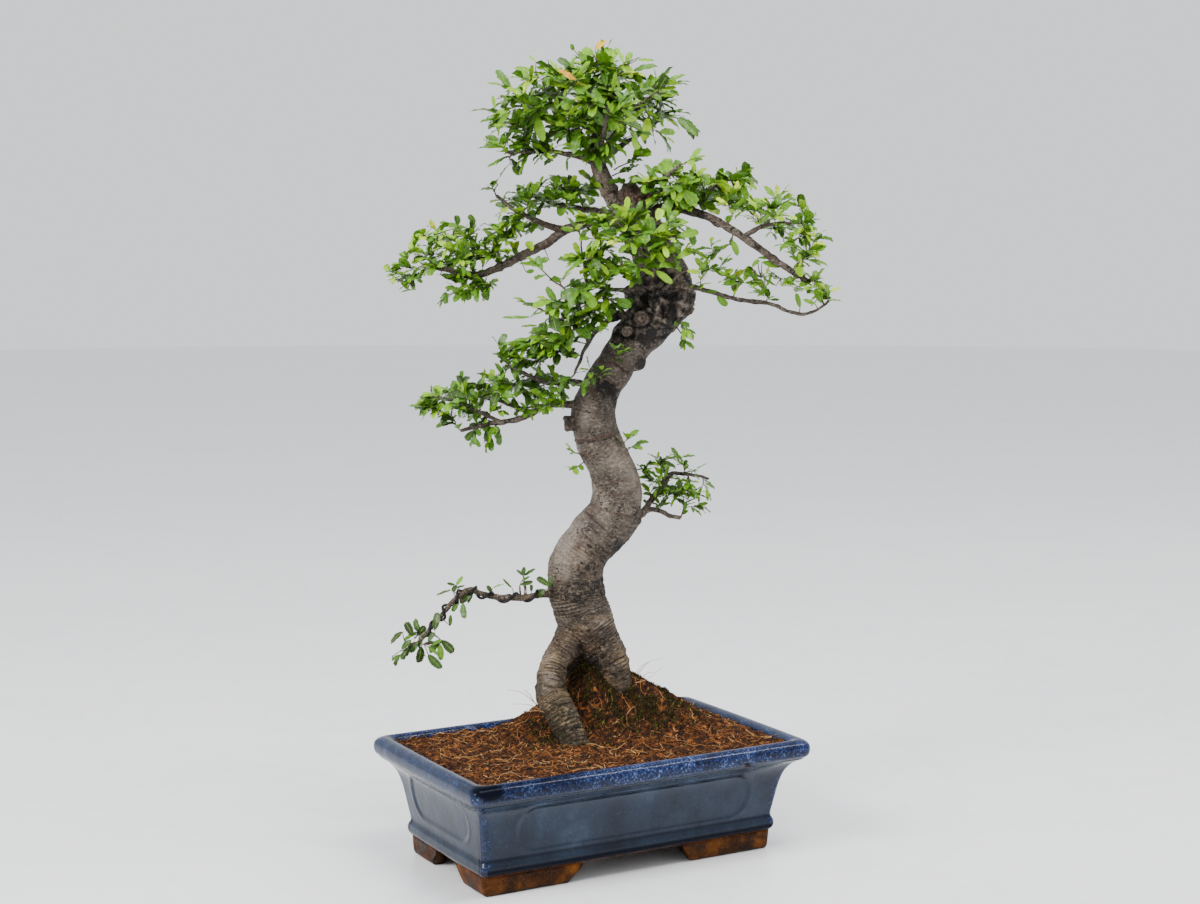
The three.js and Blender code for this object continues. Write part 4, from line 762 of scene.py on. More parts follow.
def clay_look():
    look = Look("foot_clay")
    low_darkening = look.told()[1]
    look.color = look.ramp(look.noise(38, 6, 0.62), (0.3, 24, 11, 2), (0.46, 52, 26, 4),
                           (0.6, 92, 50, 9), (0.76, 134, 84, 26))
    smudge = look.span(look.noise(22, 6, 0.68, 0.6), 0.5, 0.62)
    look.paint((20, 11, 6), smudge, 0.8)
    # Darker near the floor and on the pot's underside
    look.paint((14, 9, 7), low_darkening)
    look.paint((140, 96, 60), look.span(look.noise(900, 2, 0.5), 0.58, 0.7), 0.25)
    look.bump((look.noise(90, 5, 0.65), 0.0012), (look.noise(900, 3, 0.6), 0.0002))
    return look.finish(rough=look.span(smudge, 0, 1, 0.5, 0.3), specular=0.09)


def bark_look():
    look = Look("bark")
    dark, run, dead = look.told()
    height = look.parts_of(look.place)[2]
    look.color = look.ramp(look.noise(34, 5, 0.62), (0.34, 50, 42, 35), (0.44, 77, 67, 57),
                           (0.55, 98, 87, 75), (0.68, 132, 120, 105))
    brown = look.ramp(look.noise(48, 5, 0.62), (0.34, 38, 28, 17), (0.46, 72, 57, 38),
                      (0.58, 104, 84, 58), (0.70, 146, 123, 90))
    look.paint(brown, look.span(height, 0.16, 0.30, 1.0, 0.0))
    look.paint((88, 62, 46), look.span(look.noise(20, 5, 0.65, 0.8), 0.48, 0.64), 0.45)
    # Painted shade under the foliage: the stem darker between 0.37 and 0.58 m up
    look.paint((56, 47, 39), look.times(look.span(height, 0.37, 0.43),
                                        look.span(height, 0.52, 0.58, 0.55, 0.0)))
    # Pale where the darkness is below 0: healed cuts, pale ridges and pale bark patches; the
    # patches on the stem's left are partly painted highlight
    look.paint((160, 148, 135), look.span(dark, -0.9, -0.05, 1.0, 0.0), 0.55)
    # Small plates, pale and dark
    taller = look.scaled(1.0, 1.0, 1.5)
    plates = look.span(look.noise(300, 2, 0.55, 0.0, taller), 0.40, 0.62)
    look.paint((50, 40, 34), look.span(plates, 0.0, 0.5, 0.2, 0.0))
    look.paint((160, 150, 142), look.span(plates, 0.6, 1.0, 0.0, 0.22))
    # Lenticels and flecks
    fleck = look.span(look.cells(240, taller), 0.22, 0.34, 1.0, 0.0)
    small = look.span(look.cells(380, look.scaled(1.0, 1.0, 1.3)), 0.24, 0.38, 1.0, 0.0)
    flecks = look.times(look.math("MAXIMUM", fleck, look.times(small, 0.7)),
                        look.span(look.noise(26, 3, 0.6), 0.47, 0.60))
    look.paint((28, 19, 15), flecks, 0.9)
    # Wrinkles across the trunk, strongest low down
    wrinkles = []
    for often, push, sway, patches in (
        (1500.0, 22.0, look.noise(22, 4, 0.55), look.span(look.noise(50, 3, 0.6), 0.44, 0.54)),
        (2700.0, 26.0, look.noise(46, 4, 0.6),
         look.span(look.noise(60, 3, 0.6, 0.0, look.scaled(1.1, 0.9, 1.0)), 0.42, 0.56)),
    ):
        wave = look.math("SINE", look.math("MULTIPLY_ADD", run, often, look.times(sway, push)))
        wrinkles.append(look.times(look.span(wave, -1.0, -0.3, 1.0, 0.0), patches))
    lines = look.times(look.math("MAXIMUM", wrinkles[0], look.times(wrinkles[1], 0.8)),
                       look.span(height, 0.225, 0.262, 1.0, 0.34))
    look.paint((30, 21, 16), lines, 0.85)
    # Dark bark flakes off in crumbs, so it has a ragged edge
    crumbs = look.times(look.math("SUBTRACT", look.noise(290, 3, 0.62), 0.5), 3.6)
    ragged = look.times(look.span(look.math("ADD", dark, crumbs), 0.42, 0.56),
                        look.span(dark, 0.04, 0.3))
    look.paint((22, 16, 12), ragged, 0.9)
    look.paint((14, 10, 8), look.span(dark, 0.8, 1.1, 0.0, 0.7))
    # Green film near the soil
    film = look.times(look.span(height, 0.105, 0.185, 1.0, 0.0),
                      look.span(look.noise(70, 6, 0.7), 0.44, 0.58))
    look.paint((60, 57, 24), film, 0.55)
    grain = look.noise(320, 6, 0.68, 0.0, look.scaled(1.0, 1.0, 0.25))
    look.paint(look.ramp(grain, (0.32, 26, 18, 14), (0.48, 66, 46, 36), (0.6, 92, 68, 54),
                         (0.76, 128, 112, 98)), dead)
    pits = look.less(look.math("MAXIMUM", flecks, ragged))
    look.bump((look.noise(80, 7, 0.72), 0.0026), (plates, 0.0007), (pits, 0.0009),
              (look.less(lines), 0.0013), (look.noise(560, 5, 0.75), 0.0007))
    return look.finish(rough=look.span(look.noise(120, 3, 0.6), 0.3, 0.7, 0.6, 0.88), specular=0.35)


def twig_look():
    look = Look("young_bark")
    look.color = look.ramp(look.noise(160, 4, 0.6), (0.3, 44, 28, 22), (0.5, 70, 48, 38),
                           (0.7, 102, 78, 62))
    look.paint((128, 108, 90), look.span(look.cells(900), 0.12, 0.25, 1.0, 0.0), 0.4)
    look.bump((look.noise(600, 4, 0.6), 0.0003))
    return look.finish(rough=0.75)


def leaf_look():
    look = Look("leaf")
    along, across, tone = look.told()
    look.color = look.ramp(tone, (0.0, 10, 28, 6), (0.2, 38, 74, 16), (0.42, 74, 124, 22),
                           (0.62, 114, 164, 20), (0.8, 162, 204, 28), (0.87, 196, 204, 46),
                           (0.93, 222, 166, 40), (1.0, 222, 116, 22))
    blotch = look.noise(240, 3, 0.6)
    look.paint((34, 76, 12), look.span(blotch, 0.45, 0.75, 0.0, 0.3))
    sideways = look.math("ABSOLUTE", across)
    rib = look.span(sideways, 0.03, 0.1, 1.0, 0.0)
    phase = look.math("SUBTRACT", look.times(along, 9.0), look.times(sideways, 2.6))
    vein = look.math("ABSOLUTE", look.math("SUBTRACT", look.math("FRACT", phase), 0.5))
    lines = look.math("MAXIMUM", look.times(rib, 0.8),
                      look.times(look.span(vein, 0.02, 0.13, 1.0, 0.0), 0.4))
    look.paint((176, 198, 70), lines, 0.55)
    look.paint((60, 96, 16), look.span(sideways, 0.84, 1.0, 0.0, 0.35))
    look.bump((look.less(lines), 0.0004), (look.noise(900, 2, 0.5), 0.00008))
    return look.finish(rough=look.span(blotch, 0.3, 0.7, 0.3, 0.44), specular=0.38)


def coir_look():
    look = Look("coir")
    look.color = look.ramp(look.noise(200, 4, 0.62, 0.8), (0.38, 12, 6, 3), (0.48, 50, 26, 11),
                           (0.57, 112, 62, 24), (0.68, 178, 112, 54))
    look.paint((30, 19, 9), look.span(look.noise(22, 5, 0.65), 0.46, 0.64), 0.7)
    # Darker in the hollow between the roots, partly dark moss and partly painted shade, and on the
    # soil's hidden sides as painted shade
    look.paint((26, 22, 12), look.told()[0])
    look.bump((look.noise(170, 6, 0.7), 0.005), (look.noise(360, 5, 0.7, 1.6), 0.002))
    return look.finish(rough=0.95, specular=0.2)


def tone_look(name, stops, over, scale, most, rough, specular):
    """Coloured by each vertex's tone, with a fine blotch of a second colour."""
    look = Look(name)
    look.color = look.ramp(look.told()[0], *stops)
    look.paint(over, look.span(look.noise(scale, 3, 0.6), 0.4, 0.7, 0.0, most))
    return look.finish(rough=rough, specular=specular)


def wire_look():
    look = Look("anodised_wire")
    look.color = look.ramp(look.noise(300, 4, 0.6), (0.35, 14, 14, 16), (0.65, 34, 33, 36))
    worn = look.span(look.noise(120, 4, 0.7), 0.62, 0.74)
    look.paint((92, 88, 86), worn, 0.35)
    look.bump((look.noise(800, 3, 0.6), 0.0001))
    return look.finish(rough=look.span(worn, 0, 1, 0.42, 0.3), metal=0.75)


GLAZE, CLAY, BARK, YOUNG_BARK = glaze_look(), clay_look(), bark_look(), twig_look()
LEAF, COIR, WIRE = leaf_look(), coir_look(), wire_look()
FIBRE = tone_look("coir_fibre", ((0.0, 12, 6, 2), (0.3, 50, 26, 9), (0.6, 112, 64, 25),
                                 (0.85, 172, 114, 58), (1.0, 208, 172, 118)),
                  (36, 20, 11), 500, 0.35, 0.85, 0.25)
MOSS = tone_look("moss", ((0.0, 20, 16, 8), (0.35, 52, 44, 20), (0.6, 80, 70, 32),
                          (0.8, 96, 92, 36), (1.0, 104, 122, 34)),
                 (52, 34, 18), 300, 0.45, 0.9, 0.2)


# ---- Pot ----

def dense_profile():
    """Height and both insets at even steps up the wall and over the rim."""
    deep_x, deep_y = (POT_LENGTH - FOOT_LENGTH) / 2, (POT_WIDTH - FOOT_WIDTH) / 2
    points = [(share * deep_x, share * deep_y, z) for z, share in WALL_PROFILE]
    points += [(in_x, in_y, z) for z, in_x, in_y in RIM_PROFILE]
    rough = smooth_curve(points, np.linspace(0, len(points) - 1, 1200))
    run = run_along(rough[:, 1:])
    even = np.linspace(0, run[-1], int(run[-1] / POT_STEP))
    return np.column_stack([np.interp(even, run, rough[:, k]) for k in (2, 0, 1)])


def oblong(half_x, half_y, radius):
    """Ring of points round an oblong with round corners and sides bowed out a little, its
    outward normals, and for each point which side it is on and the way along that side."""
    rows = []
    for side in range(4):
        half_a, half_b = (half_y, half_x) if side % 2 else (half_x, half_y)
        count = STEPS_SHORT if side % 2 else STEPS_LONG
        straight = half_a - radius
        own = []
        for i in range(count):
            a, share = -straight + 2 * straight * i / count, i / count
            own.append((a, -half_b - POT_SIDE_BOW * 4 * share * (1 - share), 0, -1, a))
        for i in range(STEPS_CORNER):
            angle = -math.pi / 2 + math.pi / 2 * i / STEPS_CORNER
            cos, sin = math.cos(angle), math.sin(angle)
            own.append((straight + radius * cos, -half_b + radius + radius * sin, cos, sin, half_a))
        cos, sin = round(math.cos(side * math.pi / 2)), round(math.sin(side * math.pi / 2))
        rows += [(x * cos - y * sin, x * sin + y * cos, nx * cos - ny * sin, nx * sin + ny * cos,
                  side, a) for x, y, nx, ny, a in own]
    rows = np.array(rows)
    return rows[:, :2], rows[:, 2:4], rows[:, 4], rows[:, 5]


def panel_distance(a, z, half, low, high, corner):
    """Distance from a sunk panel's outline on one side, less than 0 inside it."""
    away_a = np.abs(a) - (half - corner)
    away_z = np.abs(z - (low + high) / 2) - ((high - low) / 2 - corner)
    outside = np.hypot(np.maximum(away_a, 0), np.maximum(away_z, 0))
    return outside + np.minimum(np.maximum(away_a, away_z), 0) - corner


def at_height(ring, z):
    return np.column_stack([ring, np.full(len(ring), z)])


def build_pot():
    shape = Shape()
    rings, told = [], []
    for z, in_x, in_y in dense_profile():
        half_x, half_y = POT_LENGTH / 2 - in_x, POT_WIDTH / 2 - in_y
        radius = WALL_CORNER + (RIM_CORNER - WALL_CORNER) * float(fade(z, 75, 92))
        ring, normals, sides, along = oblong(half_x, half_y, radius)
        long_side = sides % 2 == 0
        gap = np.where(long_side, panel_distance(along, z, *LONG_PANEL),
                       panel_distance(along, z, *SHORT_PANEL))
        if z > PANELS_END:
            gap = np.full(len(gap), 9.0)
        sink = -1.1 * fade(-gap, -0.8, 3.4) + 0.4 * hump(gap, 1.8, 1.8)
        ring = ring + normals * sink[:, None]
        # Glaze pools dark in the grooves; the heavier line along the panels' top edges and the dark
        # line under the rim are painted shade
        outline = np.where(z > 74, 0.8, 0.22) * (1 + 0.5 * np.sin(along * 0.16 + z * 0.2))
        pool_shade_and_reflection = outline * hump(gap, -0.9, 1.1) + 0.7 * hump(z, 32.6, 1.3) + 0.75 * hump(z, 90.6, 0.8)
        # Glaze pooled at the foot, darkened further as painted dark reflection along the bottom
        # ledge, most on the long sides
        pool_shade_and_reflection = pool_shade_and_reflection + np.where(long_side, 1.3, 0.5) * hump(z, 21.6, 4.0)
        to_corner = np.hypot(np.maximum(half_x - np.abs(ring[:, 0]), 0),
                             np.maximum(half_y - np.abs(ring[:, 1]), 0))
        # A dark line on the short sides near the corners, and the left half of the long rim darker
        pool_shade_and_reflection = pool_shade_and_reflection + 0.6 * hump(to_corner, 7, 1.6) * ~long_side * (z < 90)
        pool_shade_and_reflection = pool_shade_and_reflection + 0.5 * fade(z, 92.0, 96.0) * (sides == 0) * (1 - fade(along, -110, 10))
        # Cobalt mottle on the rim and the corners
        rim = (fade(z, 91.5, 95.0) * np.where(long_side, 1.0, 0.4)
               + 0.85 * hump(to_corner, 3, 4.4) * np.where(long_side, 1.0, 0.5))
        bare = 0.9 * hump(z, 18.3, 1.1) + 0.5 * hump(to_corner, 1.2, 1.2) * (z < 88)
        rings.append(at_height(ring, z))
        told.append(np.column_stack([pool_shade_and_reflection, rim, bare]))
    for z, half_x, half_y in INSIDE_WALL:
        rings.append(at_height(oblong(half_x, half_y, WALL_CORNER)[0], z))
        told.append(np.tile([0.2, 0.2, 0.0], (len(rings[-1]), 1)))
    points, told = np.vstack(rings), np.vstack(told)
    columns, rows, away = pixel_of(turn(points, -1))
    # Painted dark reflection at the near corner of the rim, and a pit on the long side
    dark_reflection = np.exp(-(((columns - 486) / 16) ** 2 + ((rows - 792) / 8) ** 2) ** 2) * (away < 1830)
    pit = np.exp(-(((columns - 748) / 5) ** 2 + ((rows - 765) / 3.2) ** 2) ** 2) * (away < 1950)
    told[:, 0] += 1.3 * dark_reflection + 1.2 * pit ** 3
    told[:, 2] += pit * (1 - pit ** 3)
    points[:, 1] += 0.8 * pit
    shape.add(points, quads_of(grid_of(len(rings), len(rings[0]))), values=np.clip(told, 0, 1))
    build_pot_floor(shape)
    build_feet(shape)
    shape.piece("glazed_pot", [GLAZE, CLAY], "glaze", ["pot"])


def build_pot_floor(shape):
    """Underside and floor with their two drain holes, as strips of a polar grid round each hole."""
    half_x, half_y = FOOT_LENGTH / 2 - 1.4, FOOT_WIDTH / 2 - 1.4
    steps = 64
    angles = np.arange(steps) / steps * 2 * math.pi
    heading = np.column_stack([np.cos(angles), np.sin(angles)])
    for hole in (-1, 1):
        centre = np.array([hole * DRAIN_SPACING / 2, 0.0])
        low_x, high_x = (-half_x, 0.0) if hole < 0 else (0.0, half_x)
        to_x = np.where(heading[:, 0] > 0, high_x - centre[0], centre[0] - low_x)
        reach = np.minimum(to_x / np.maximum(np.abs(heading[:, 0]), 1e-6),
                           half_y / np.maximum(np.abs(heading[:, 1]), 1e-6))
        levels = []
        for share in np.linspace(1, 0, 10):
            out = DRAIN_RADIUS + (reach - DRAIN_RADIUS) * share
            level = UNDERSIDE - 0.5 * (1 - share)
            levels.append(at_height(centre + heading * out[:, None], level))
        levels += [at_height(centre + heading * DRAIN_RADIUS, z) for z in (19.0, 23.0, FLOOR_TOP)]
        # The underside gets a quarter of the darkening
        shape.add(np.vstack(levels), quads_of(grid_of(len(levels), steps), flip=True), look=1,
                  values=(0, 0.25, 0))


def build_feet(shape):
    """Four corner feet: blocks swept round the corners, with S-curved ends."""
    half_x, half_y = FOOT_LENGTH / 2, FOOT_WIDTH / 2
    arc = WALL_CORNER * math.pi / 2
    for quarter, (sign_x, sign_y) in enumerate(((1, -1), (1, 1), (-1, 1), (-1, -1))):
        rows = []
        for share in np.arange(FOOT_STEPS + 1) / FOOT_STEPS:
            for z, inset in FOOT_SECTION:
                # The gaps between the feet are wider at the surface than at the pot
                open_share = 1 - float(fade(z, 1.0, 15.5))
                gap_x, gap_y = (gap + wider * open_share
                                for gap, wider in zip(FOOT_GAPS, FOOT_GAPS_WIDER))
                length_x, length_y = half_x - gap_x - WALL_CORNER, half_y - gap_y - WALL_CORNER
                run = share * (length_x + arc + length_y)
                if run < length_x:
                    x, y, nx, ny = gap_x + run, half_y, 0.0, 1.0
                elif run < length_x + arc:
                    angle = (run - length_x) / WALL_CORNER
                    nx, ny = math.sin(angle), math.cos(angle)
                    x = half_x - WALL_CORNER + WALL_CORNER * nx
                    y = half_y - WALL_CORNER + WALL_CORNER * ny
                else:
                    x, y, nx, ny = half_x, half_y - WALL_CORNER - (run - length_x - arc), 1.0, 0.0
                x, y = x - inset * nx, y - inset * ny
                if inset > WALL_CORNER:
                    x, y = min(x, half_x - inset), min(y, half_y - inset)
                rows.append((sign_x * x, sign_y * y, z))
        rows = np.array(rows)
        wobble = noise_at(rows, 16.0, 3.0 + quarter) * 0.5
        rows[:, :2] *= (1 + wobble / 160)[:, None]
        order = grid_of(FOOT_STEPS + 1, len(FOOT_SECTION))[::sign_x * sign_y]
        first, last = order[0], order[-1]
        ends = [(first[0], first[i], first[i + 1]) for i in range(1, len(first) - 1)]
        ends += [(last[0], last[i + 1], last[i]) for i in range(1, len(last) - 1)]
        # Feet darker in patches near the floor
        low_darkening = 0.75 * (1 - fade(rows[:, 2], 0.5, 4.0)) * fade(noise_at(rows, 30.0, 8.0), -0.1, 0.3)
        shape.add(rows, quads_of(order, flip=True), ends, look=1, values=low_darkening[:, None] * (0, 1, 0))


# ---- Soil, fibres and moss ----

def rough_soil(x, y):
    """Height of the crumbly surface."""
    flat = np.column_stack([x, y, np.zeros_like(x)])
    across, deep, _ = turn(flat, -1).T
    to_wall = np.minimum(INNER_LENGTH / 2 - np.abs(x), INNER_WIDTH / 2 - np.abs(y))
    rise = (MOUND_RISE * hump_at(across, deep, MOUND_CENTRE, MOUND_SPREAD)
            + HOLLOW_RISE * hump_at(across, deep, HOLLOW_CENTRE, HOLLOW_SPREAD)
            - SCOOP_DROP * hump_at(across, deep, SCOOP_CENTRE, SCOOP_SPREAD))
    lumps = sum(high * noise_at(flat, wide, seed)
                for high, wide, seed in ((2.2, 13.0, 1.0), (1.3, 5.0, 2.0), (0.8, 2.4, 3.0)))
    return SOIL_LEVEL + fade(to_wall, 0, SOIL_EDGE_FADE) * rise + lumps - 0.6


def soil_at(x, y):
    return float(rough_soil(np.array([x]), np.array([y]))[0])


def build_soil():
    shape = Shape()
    half = np.array([INNER_LENGTH / 2 - FIT_GAP, INNER_WIDTH / 2 - FIT_GAP])
    columns, rows = 190, 114
    flat = np.stack(np.meshgrid(np.linspace(-half[0], half[0], columns),
                                np.linspace(-half[1], half[1], rows)), axis=-1).reshape(-1, 2)
    # Corners of the sheet are drawn in to the inside's round corners
    over = np.abs(flat) - (half - WALL_CORNER)
    reach = np.maximum(np.hypot(*over.T), 1e-6)[:, None]
    drawn = np.sign(flat) * (half - WALL_CORNER
                             + over * np.where(reach > WALL_CORNER, WALL_CORNER / reach, 1.0))
    x, y = np.where(np.all(over > 0, axis=1, keepdims=True), drawn, flat).T
    points = np.column_stack([x, y, rough_soil(x, y)])
    grid = grid_of(rows, columns)
    across, deep, _ = turn(points, -1).T
    # Darker soil in the hollow between the roots: partly dark moss, partly painted shade
    dark_moss_and_shade = 0.75 * hump_at(across, deep, (5, 52), (42, 26))
    dark_moss_and_shade = dark_moss_and_shade * fade(noise_at(points, 12.0, 6.0), -0.35, 0.3)
    shape.add(points, quads_of(grid, closed=False), values=dark_moss_and_shade[:, None] * (1, 0, 0))
    # Sides and bottom, drawn in with the pot's wall
    top = points[np.concatenate([grid[0, :-1], grid[:-1, -1], grid[-1, :0:-1], grid[:0:-1, 0]])]
    levels = [top]
    for level, *wall in INSIDE_WALL[1:]:
        lift = FIT_GAP if level == FLOOR_TOP else 0.0
        levels.append(at_height(top[:, :2] * ((np.array(wall) - FIT_GAP) / half), level + lift))
    ring = grid_of(len(levels), len(top))
    bottom = np.column_stack([ring[-1], np.full(len(top), ring.size), np.roll(ring[-1], -1)])
    # The hidden sides and bottom are painted half dark, as shade
    shape.add(np.vstack(levels + [[0.0, 0.0, FLOOR_TOP + FIT_GAP]]), quads_of(ring, flip=True),
              bottom, values=(0.5, 0, 0))
    shape.piece("coir_soil", [COIR], "coir", ["soil"])


def strand(start, heading, length, bend, lift):
    """A loose fibre that follows the soil: points of its line."""
    x, y = start
    shares = np.arange(FIBRE_STEPS + 1) / FIBRE_STEPS
    points = []
    for share in shares:
        points.append((x, y))
        heading += bend * (share - 0.3) + rng.normal(0, 0.3)
        x += math.cos(heading) * length / FIBRE_STEPS
        y += math.sin(heading) * length / FIBRE_STEPS
    limit = np.array([INNER_LENGTH, INNER_WIDTH]) / 2 - 1.5
    flat = np.clip(points, -limit, limit)
    return at_height(flat, rough_soil(*flat.T) + 0.35 + lift * (shares - 0.35) ** 2)


def build_fibres():
    shape = Shape()
    half_x, half_y = INNER_LENGTH / 2 - 3, INNER_WIDTH / 2 - 3
    for k in range(FIBRES):
        start = (rng.uniform(-half_x, half_x), rng.uniform(-half_y, half_y))
        length = rng.uniform(*(SHORT_FIBRE if k % LONG_EVERY else LONG_FIBRE))
        lift = rng.exponential(2.2) if k % RAISED_EVERY else rng.uniform(3, 9)
        line = strand(start, rng.uniform(0, 2 * math.pi), length, rng.normal(0, 1.1), lift)
        radius = rng.uniform(*FIBRE_RADIUS)
        tone = rng.beta(1.6, 2.3) if k % PALE_EVERY else rng.uniform(0.8, 1.0)
        shape.add(*tube(line, np.linspace(radius, radius * 0.4, len(line)), 3), values=(tone, 0, 0))
    corners = np.array([(1, 0, 0), (-1, 0, 0), (0, 1, 0), (0, -1, 0), (0, 0, 1), (0, 0, -1)], float)
    faces = [(0, 2, 4), (2, 1, 4), (1, 3, 4), (3, 0, 4), (2, 0, 5), (1, 2, 5), (3, 1, 5), (0, 3, 5)]
    for _ in range(CHIPS):
        x, y = rng.uniform(-half_x, half_x), rng.uniform(-half_y, half_y)
        size = rng.uniform(0.7, 2.3) * np.array([1.0, rng.uniform(0.5, 1), rng.uniform(0.3, 0.7)])
        chip = corners * size * rng.uniform(0.7, 1.2, (6, 1))
        spin = Matrix.Rotation(rng.uniform(0, 6.28), 3, unit(rng.normal(size=3)).tolist())
        shape.add(np.array([x, y, soil_at(x, y) + 0.3]) + chip @ np.array(spin).T,
                  triangles=faces, values=(rng.uniform(0.05, 0.75), 0, 0))
    # Fine dead stems that stand up near the roots: foot, tip, bow
    for foot, tip, bow in (
        ((636, 676, 64), (662, 658, 60), 5), ((640, 680, 64), (655, 672, 70), 3),
        ((628, 684, 50), (662, 668, 40), -4), ((632, 682, 70), (648, 662, 84), 4),
        ((538, 706, 10), (506, 690, 0), 5), ((545, 712, 4), (512, 704, -6), 3),
        ((534, 702, 16), (524, 690, 14), 2), ((552, 716, -2), (526, 712, -14), 3),
        ((600, 650, 46), (606, 640, 36), 2),
    ):
        foot, tip = at_pixel(*foot), at_pixel(*tip)
        middle = (foot + tip) / 2 + np.array([0, 0, bow])
        line = smooth_curve([foot, middle, tip], np.linspace(0, 2, 9))
        shape.add(*tube(turn(line), np.linspace(0.45, 0.2, 9), 4), values=(0.95, 0, 0))
    shape.piece("coir_fibres", [FIBRE], "coir")


def build_moss():
    """Tufts and cushions round the roots and on the mound."""
    shape = Shape()
    spots = [spot for often, *spot in MOSS_SPOTS for _ in range(often)]
    made = 0
    while made < TUFTS:
        centre, spread = spots[rng.integers(0, len(spots))]
        across, deep = rng.normal(centre[0], spread[0]), rng.normal(centre[1], spread[1])
        x, y, _ = turn([across, deep, 0.0])
        bare = noise.noise(Vector((across / MOSS_SPACING, deep / MOSS_SPACING, 4.0))) < -0.02
        if abs(x) > MOSS_LIMITS[0] or abs(y) > MOSS_LIMITS[1] or bare:
            continue
        z = soil_at(x, y)
        fresh = rng.random() <= FRESH_MOSS
        tone = rng.uniform(0.85, 1) if fresh else min(max(rng.normal(0.3, 0.16), 0), 0.75)
        for _ in range(TUFT_BLADES):
            lean = rng.normal(0, 0.5, 2)
            high, wide = rng.uniform(1.2, 3.2), rng.uniform(0.3, 0.6)
            angle = rng.uniform(0, math.pi)
            side = np.array([math.cos(angle), math.sin(angle), 0]) * wide
            foot = np.array([x + rng.normal(0, 0.9), y + rng.normal(0, 0.9), z - 0.4])
            tip = foot + np.array([*(lean * high), high + 0.4])
            belly = (foot + tip) / 2 + np.array([0, 0, 0.2])
            shape.add([foot - side * 0.5, foot + side * 0.5, belly + side, tip, belly - side],
                      quads=[(0, 1, 2, 4)], triangles=[(4, 2, 3)], values=(tone, 0, 0))
        made += 1
    shape.piece("moss", [MOSS], "coir")


# ---- Wood ----

def ball(centre, radius):
    angles = np.linspace(0.08, math.pi - 0.08, 12)
    line = np.array(centre) + np.outer(-radius * np.cos(angles), [0, 0, 1])
    return tube(line, radius * np.sin(angles), 16)


def thick_wood():
    """One skin round the stem, the roots, the lumps and the collars of the limbs."""
    shape = Shape()
    for points in (STEM, FRONT_ROOT, BACK_ROOT):
        line = samples(points, 2.0)
        shape.add(*tube(line[:, :3], line[:, 3], 28))
    for centre, radius in LUMPS:
        shape.add(*ball(centre, radius))
    for foot, tip, radius in STUBS:
        shape.add(*tube(np.linspace(foot, tip, 8), np.linspace(radius * 1.25, radius, 8), 16))
    for points in LIMBS.values():
        line = samples(points, 1.5)[:16]
        if line[0, 3] > THICK_LIMB:
            shape.add(*tube(line[:, :3], line[:, 3] * np.linspace(1.3, 0.8, len(line)), 14))
    mesh = bpy.data.meshes.new("wood_forms")
    faces = [face for size in (4, 3) for block in shape.faces[size] for face in block.tolist()]
    mesh.from_pydata((np.vstack(shape.points) * MM).tolist(), [], faces)
    form = put("wood_forms", mesh)
    remesh = form.modifiers.new("Remesh", "REMESH")
    remesh.mode = "VOXEL"
    remesh.voxel_size = WOOD_CELL
    made = form.evaluated_get(bpy.context.evaluated_depsgraph_get())
    skin = bpy.data.meshes.new_from_object(made)
    bpy.data.objects.remove(form)
    points = np.empty(len(skin.vertices) * 3)
    skin.vertices.foreach_get("co", points)
    sizes, corners = np.empty(len(skin.polygons), int), np.empty(len(skin.loops), int)
    skin.polygons.foreach_get("loop_total", sizes)
    skin.loops.foreach_get("vertex_index", corners)
    starts = np.concatenate([[0], np.cumsum(sizes)[:-1]])
    faces = (corners[starts[sizes == size][:, None] + np.arange(size)] for size in (4, 3))
    return points.reshape(-1, 3) / MM, *faces


def eased(points, quads):
    """Points moved three times towards the middle of their neighbours."""
    edges = np.vstack([quads[:, [0, 1]], quads[:, [1, 2]], quads[:, [2, 3]], quads[:, [3, 0]]])
    edges = np.unique(np.sort(edges, axis=1), axis=0)
    degree = np.bincount(edges.ravel(), minlength=len(points))[:, None]
    for _ in range(3):
        total = np.zeros_like(points)
        np.add.at(total, edges[:, 0], points[edges[:, 1]])
        np.add.at(total, edges[:, 1], points[edges[:, 0]])
        points = points + 0.5 * (total / np.maximum(degree, 1) - points) * (degree > 0)
    return points


def normals_of(points, quads):
    a, b, c, d = points[quads].transpose(1, 0, 2)
    across = np.cross(c - a, d - b)
    normals = np.zeros_like(points)
    for k in range(4):
        np.add.at(normals, quads[:, k], across)
    return unit(normals)


def line_distance(columns, rows, line):
    """Distance in pixels from each place to a line of points."""
    best = np.full(len(columns), 1e9)
    for (c0, r0), (c1, r1) in zip(line, line[1:]):
        length = max((c1 - c0) ** 2 + (r1 - r0) ** 2, 1e-6)
        share = np.clip(((columns - c0) * (c1 - c0) + (rows - r0) * (r1 - r0)) / length, 0, 1)
        best = np.minimum(best, np.hypot(columns - c0 - share * (c1 - c0),
                                         rows - r0 - share * (r1 - r0)))
    return best


def nearest_cores(points):
    """For each point the nearest place, radius, way and run on the stem's or a root's line."""
    tree = kdtree.KDTree(2000)
    cores = []
    for limb in (STEM, FRONT_ROOT, BACK_ROOT):
        line = samples(limb, 1.5)
        run = np.cumsum(np.abs(np.gradient(line[:, 2])) + 0.6)
        way, run = (1, run) if limb is STEM else (-1, 90 - run)
        for core in np.column_stack([line, way * ways_of(line[:, :3]), run]):
            tree.insert(core[:3], len(cores))
            cores.append(core)
    tree.balance()
    return np.array(cores)[[tree.find(p)[1] for p in points.tolist()]]


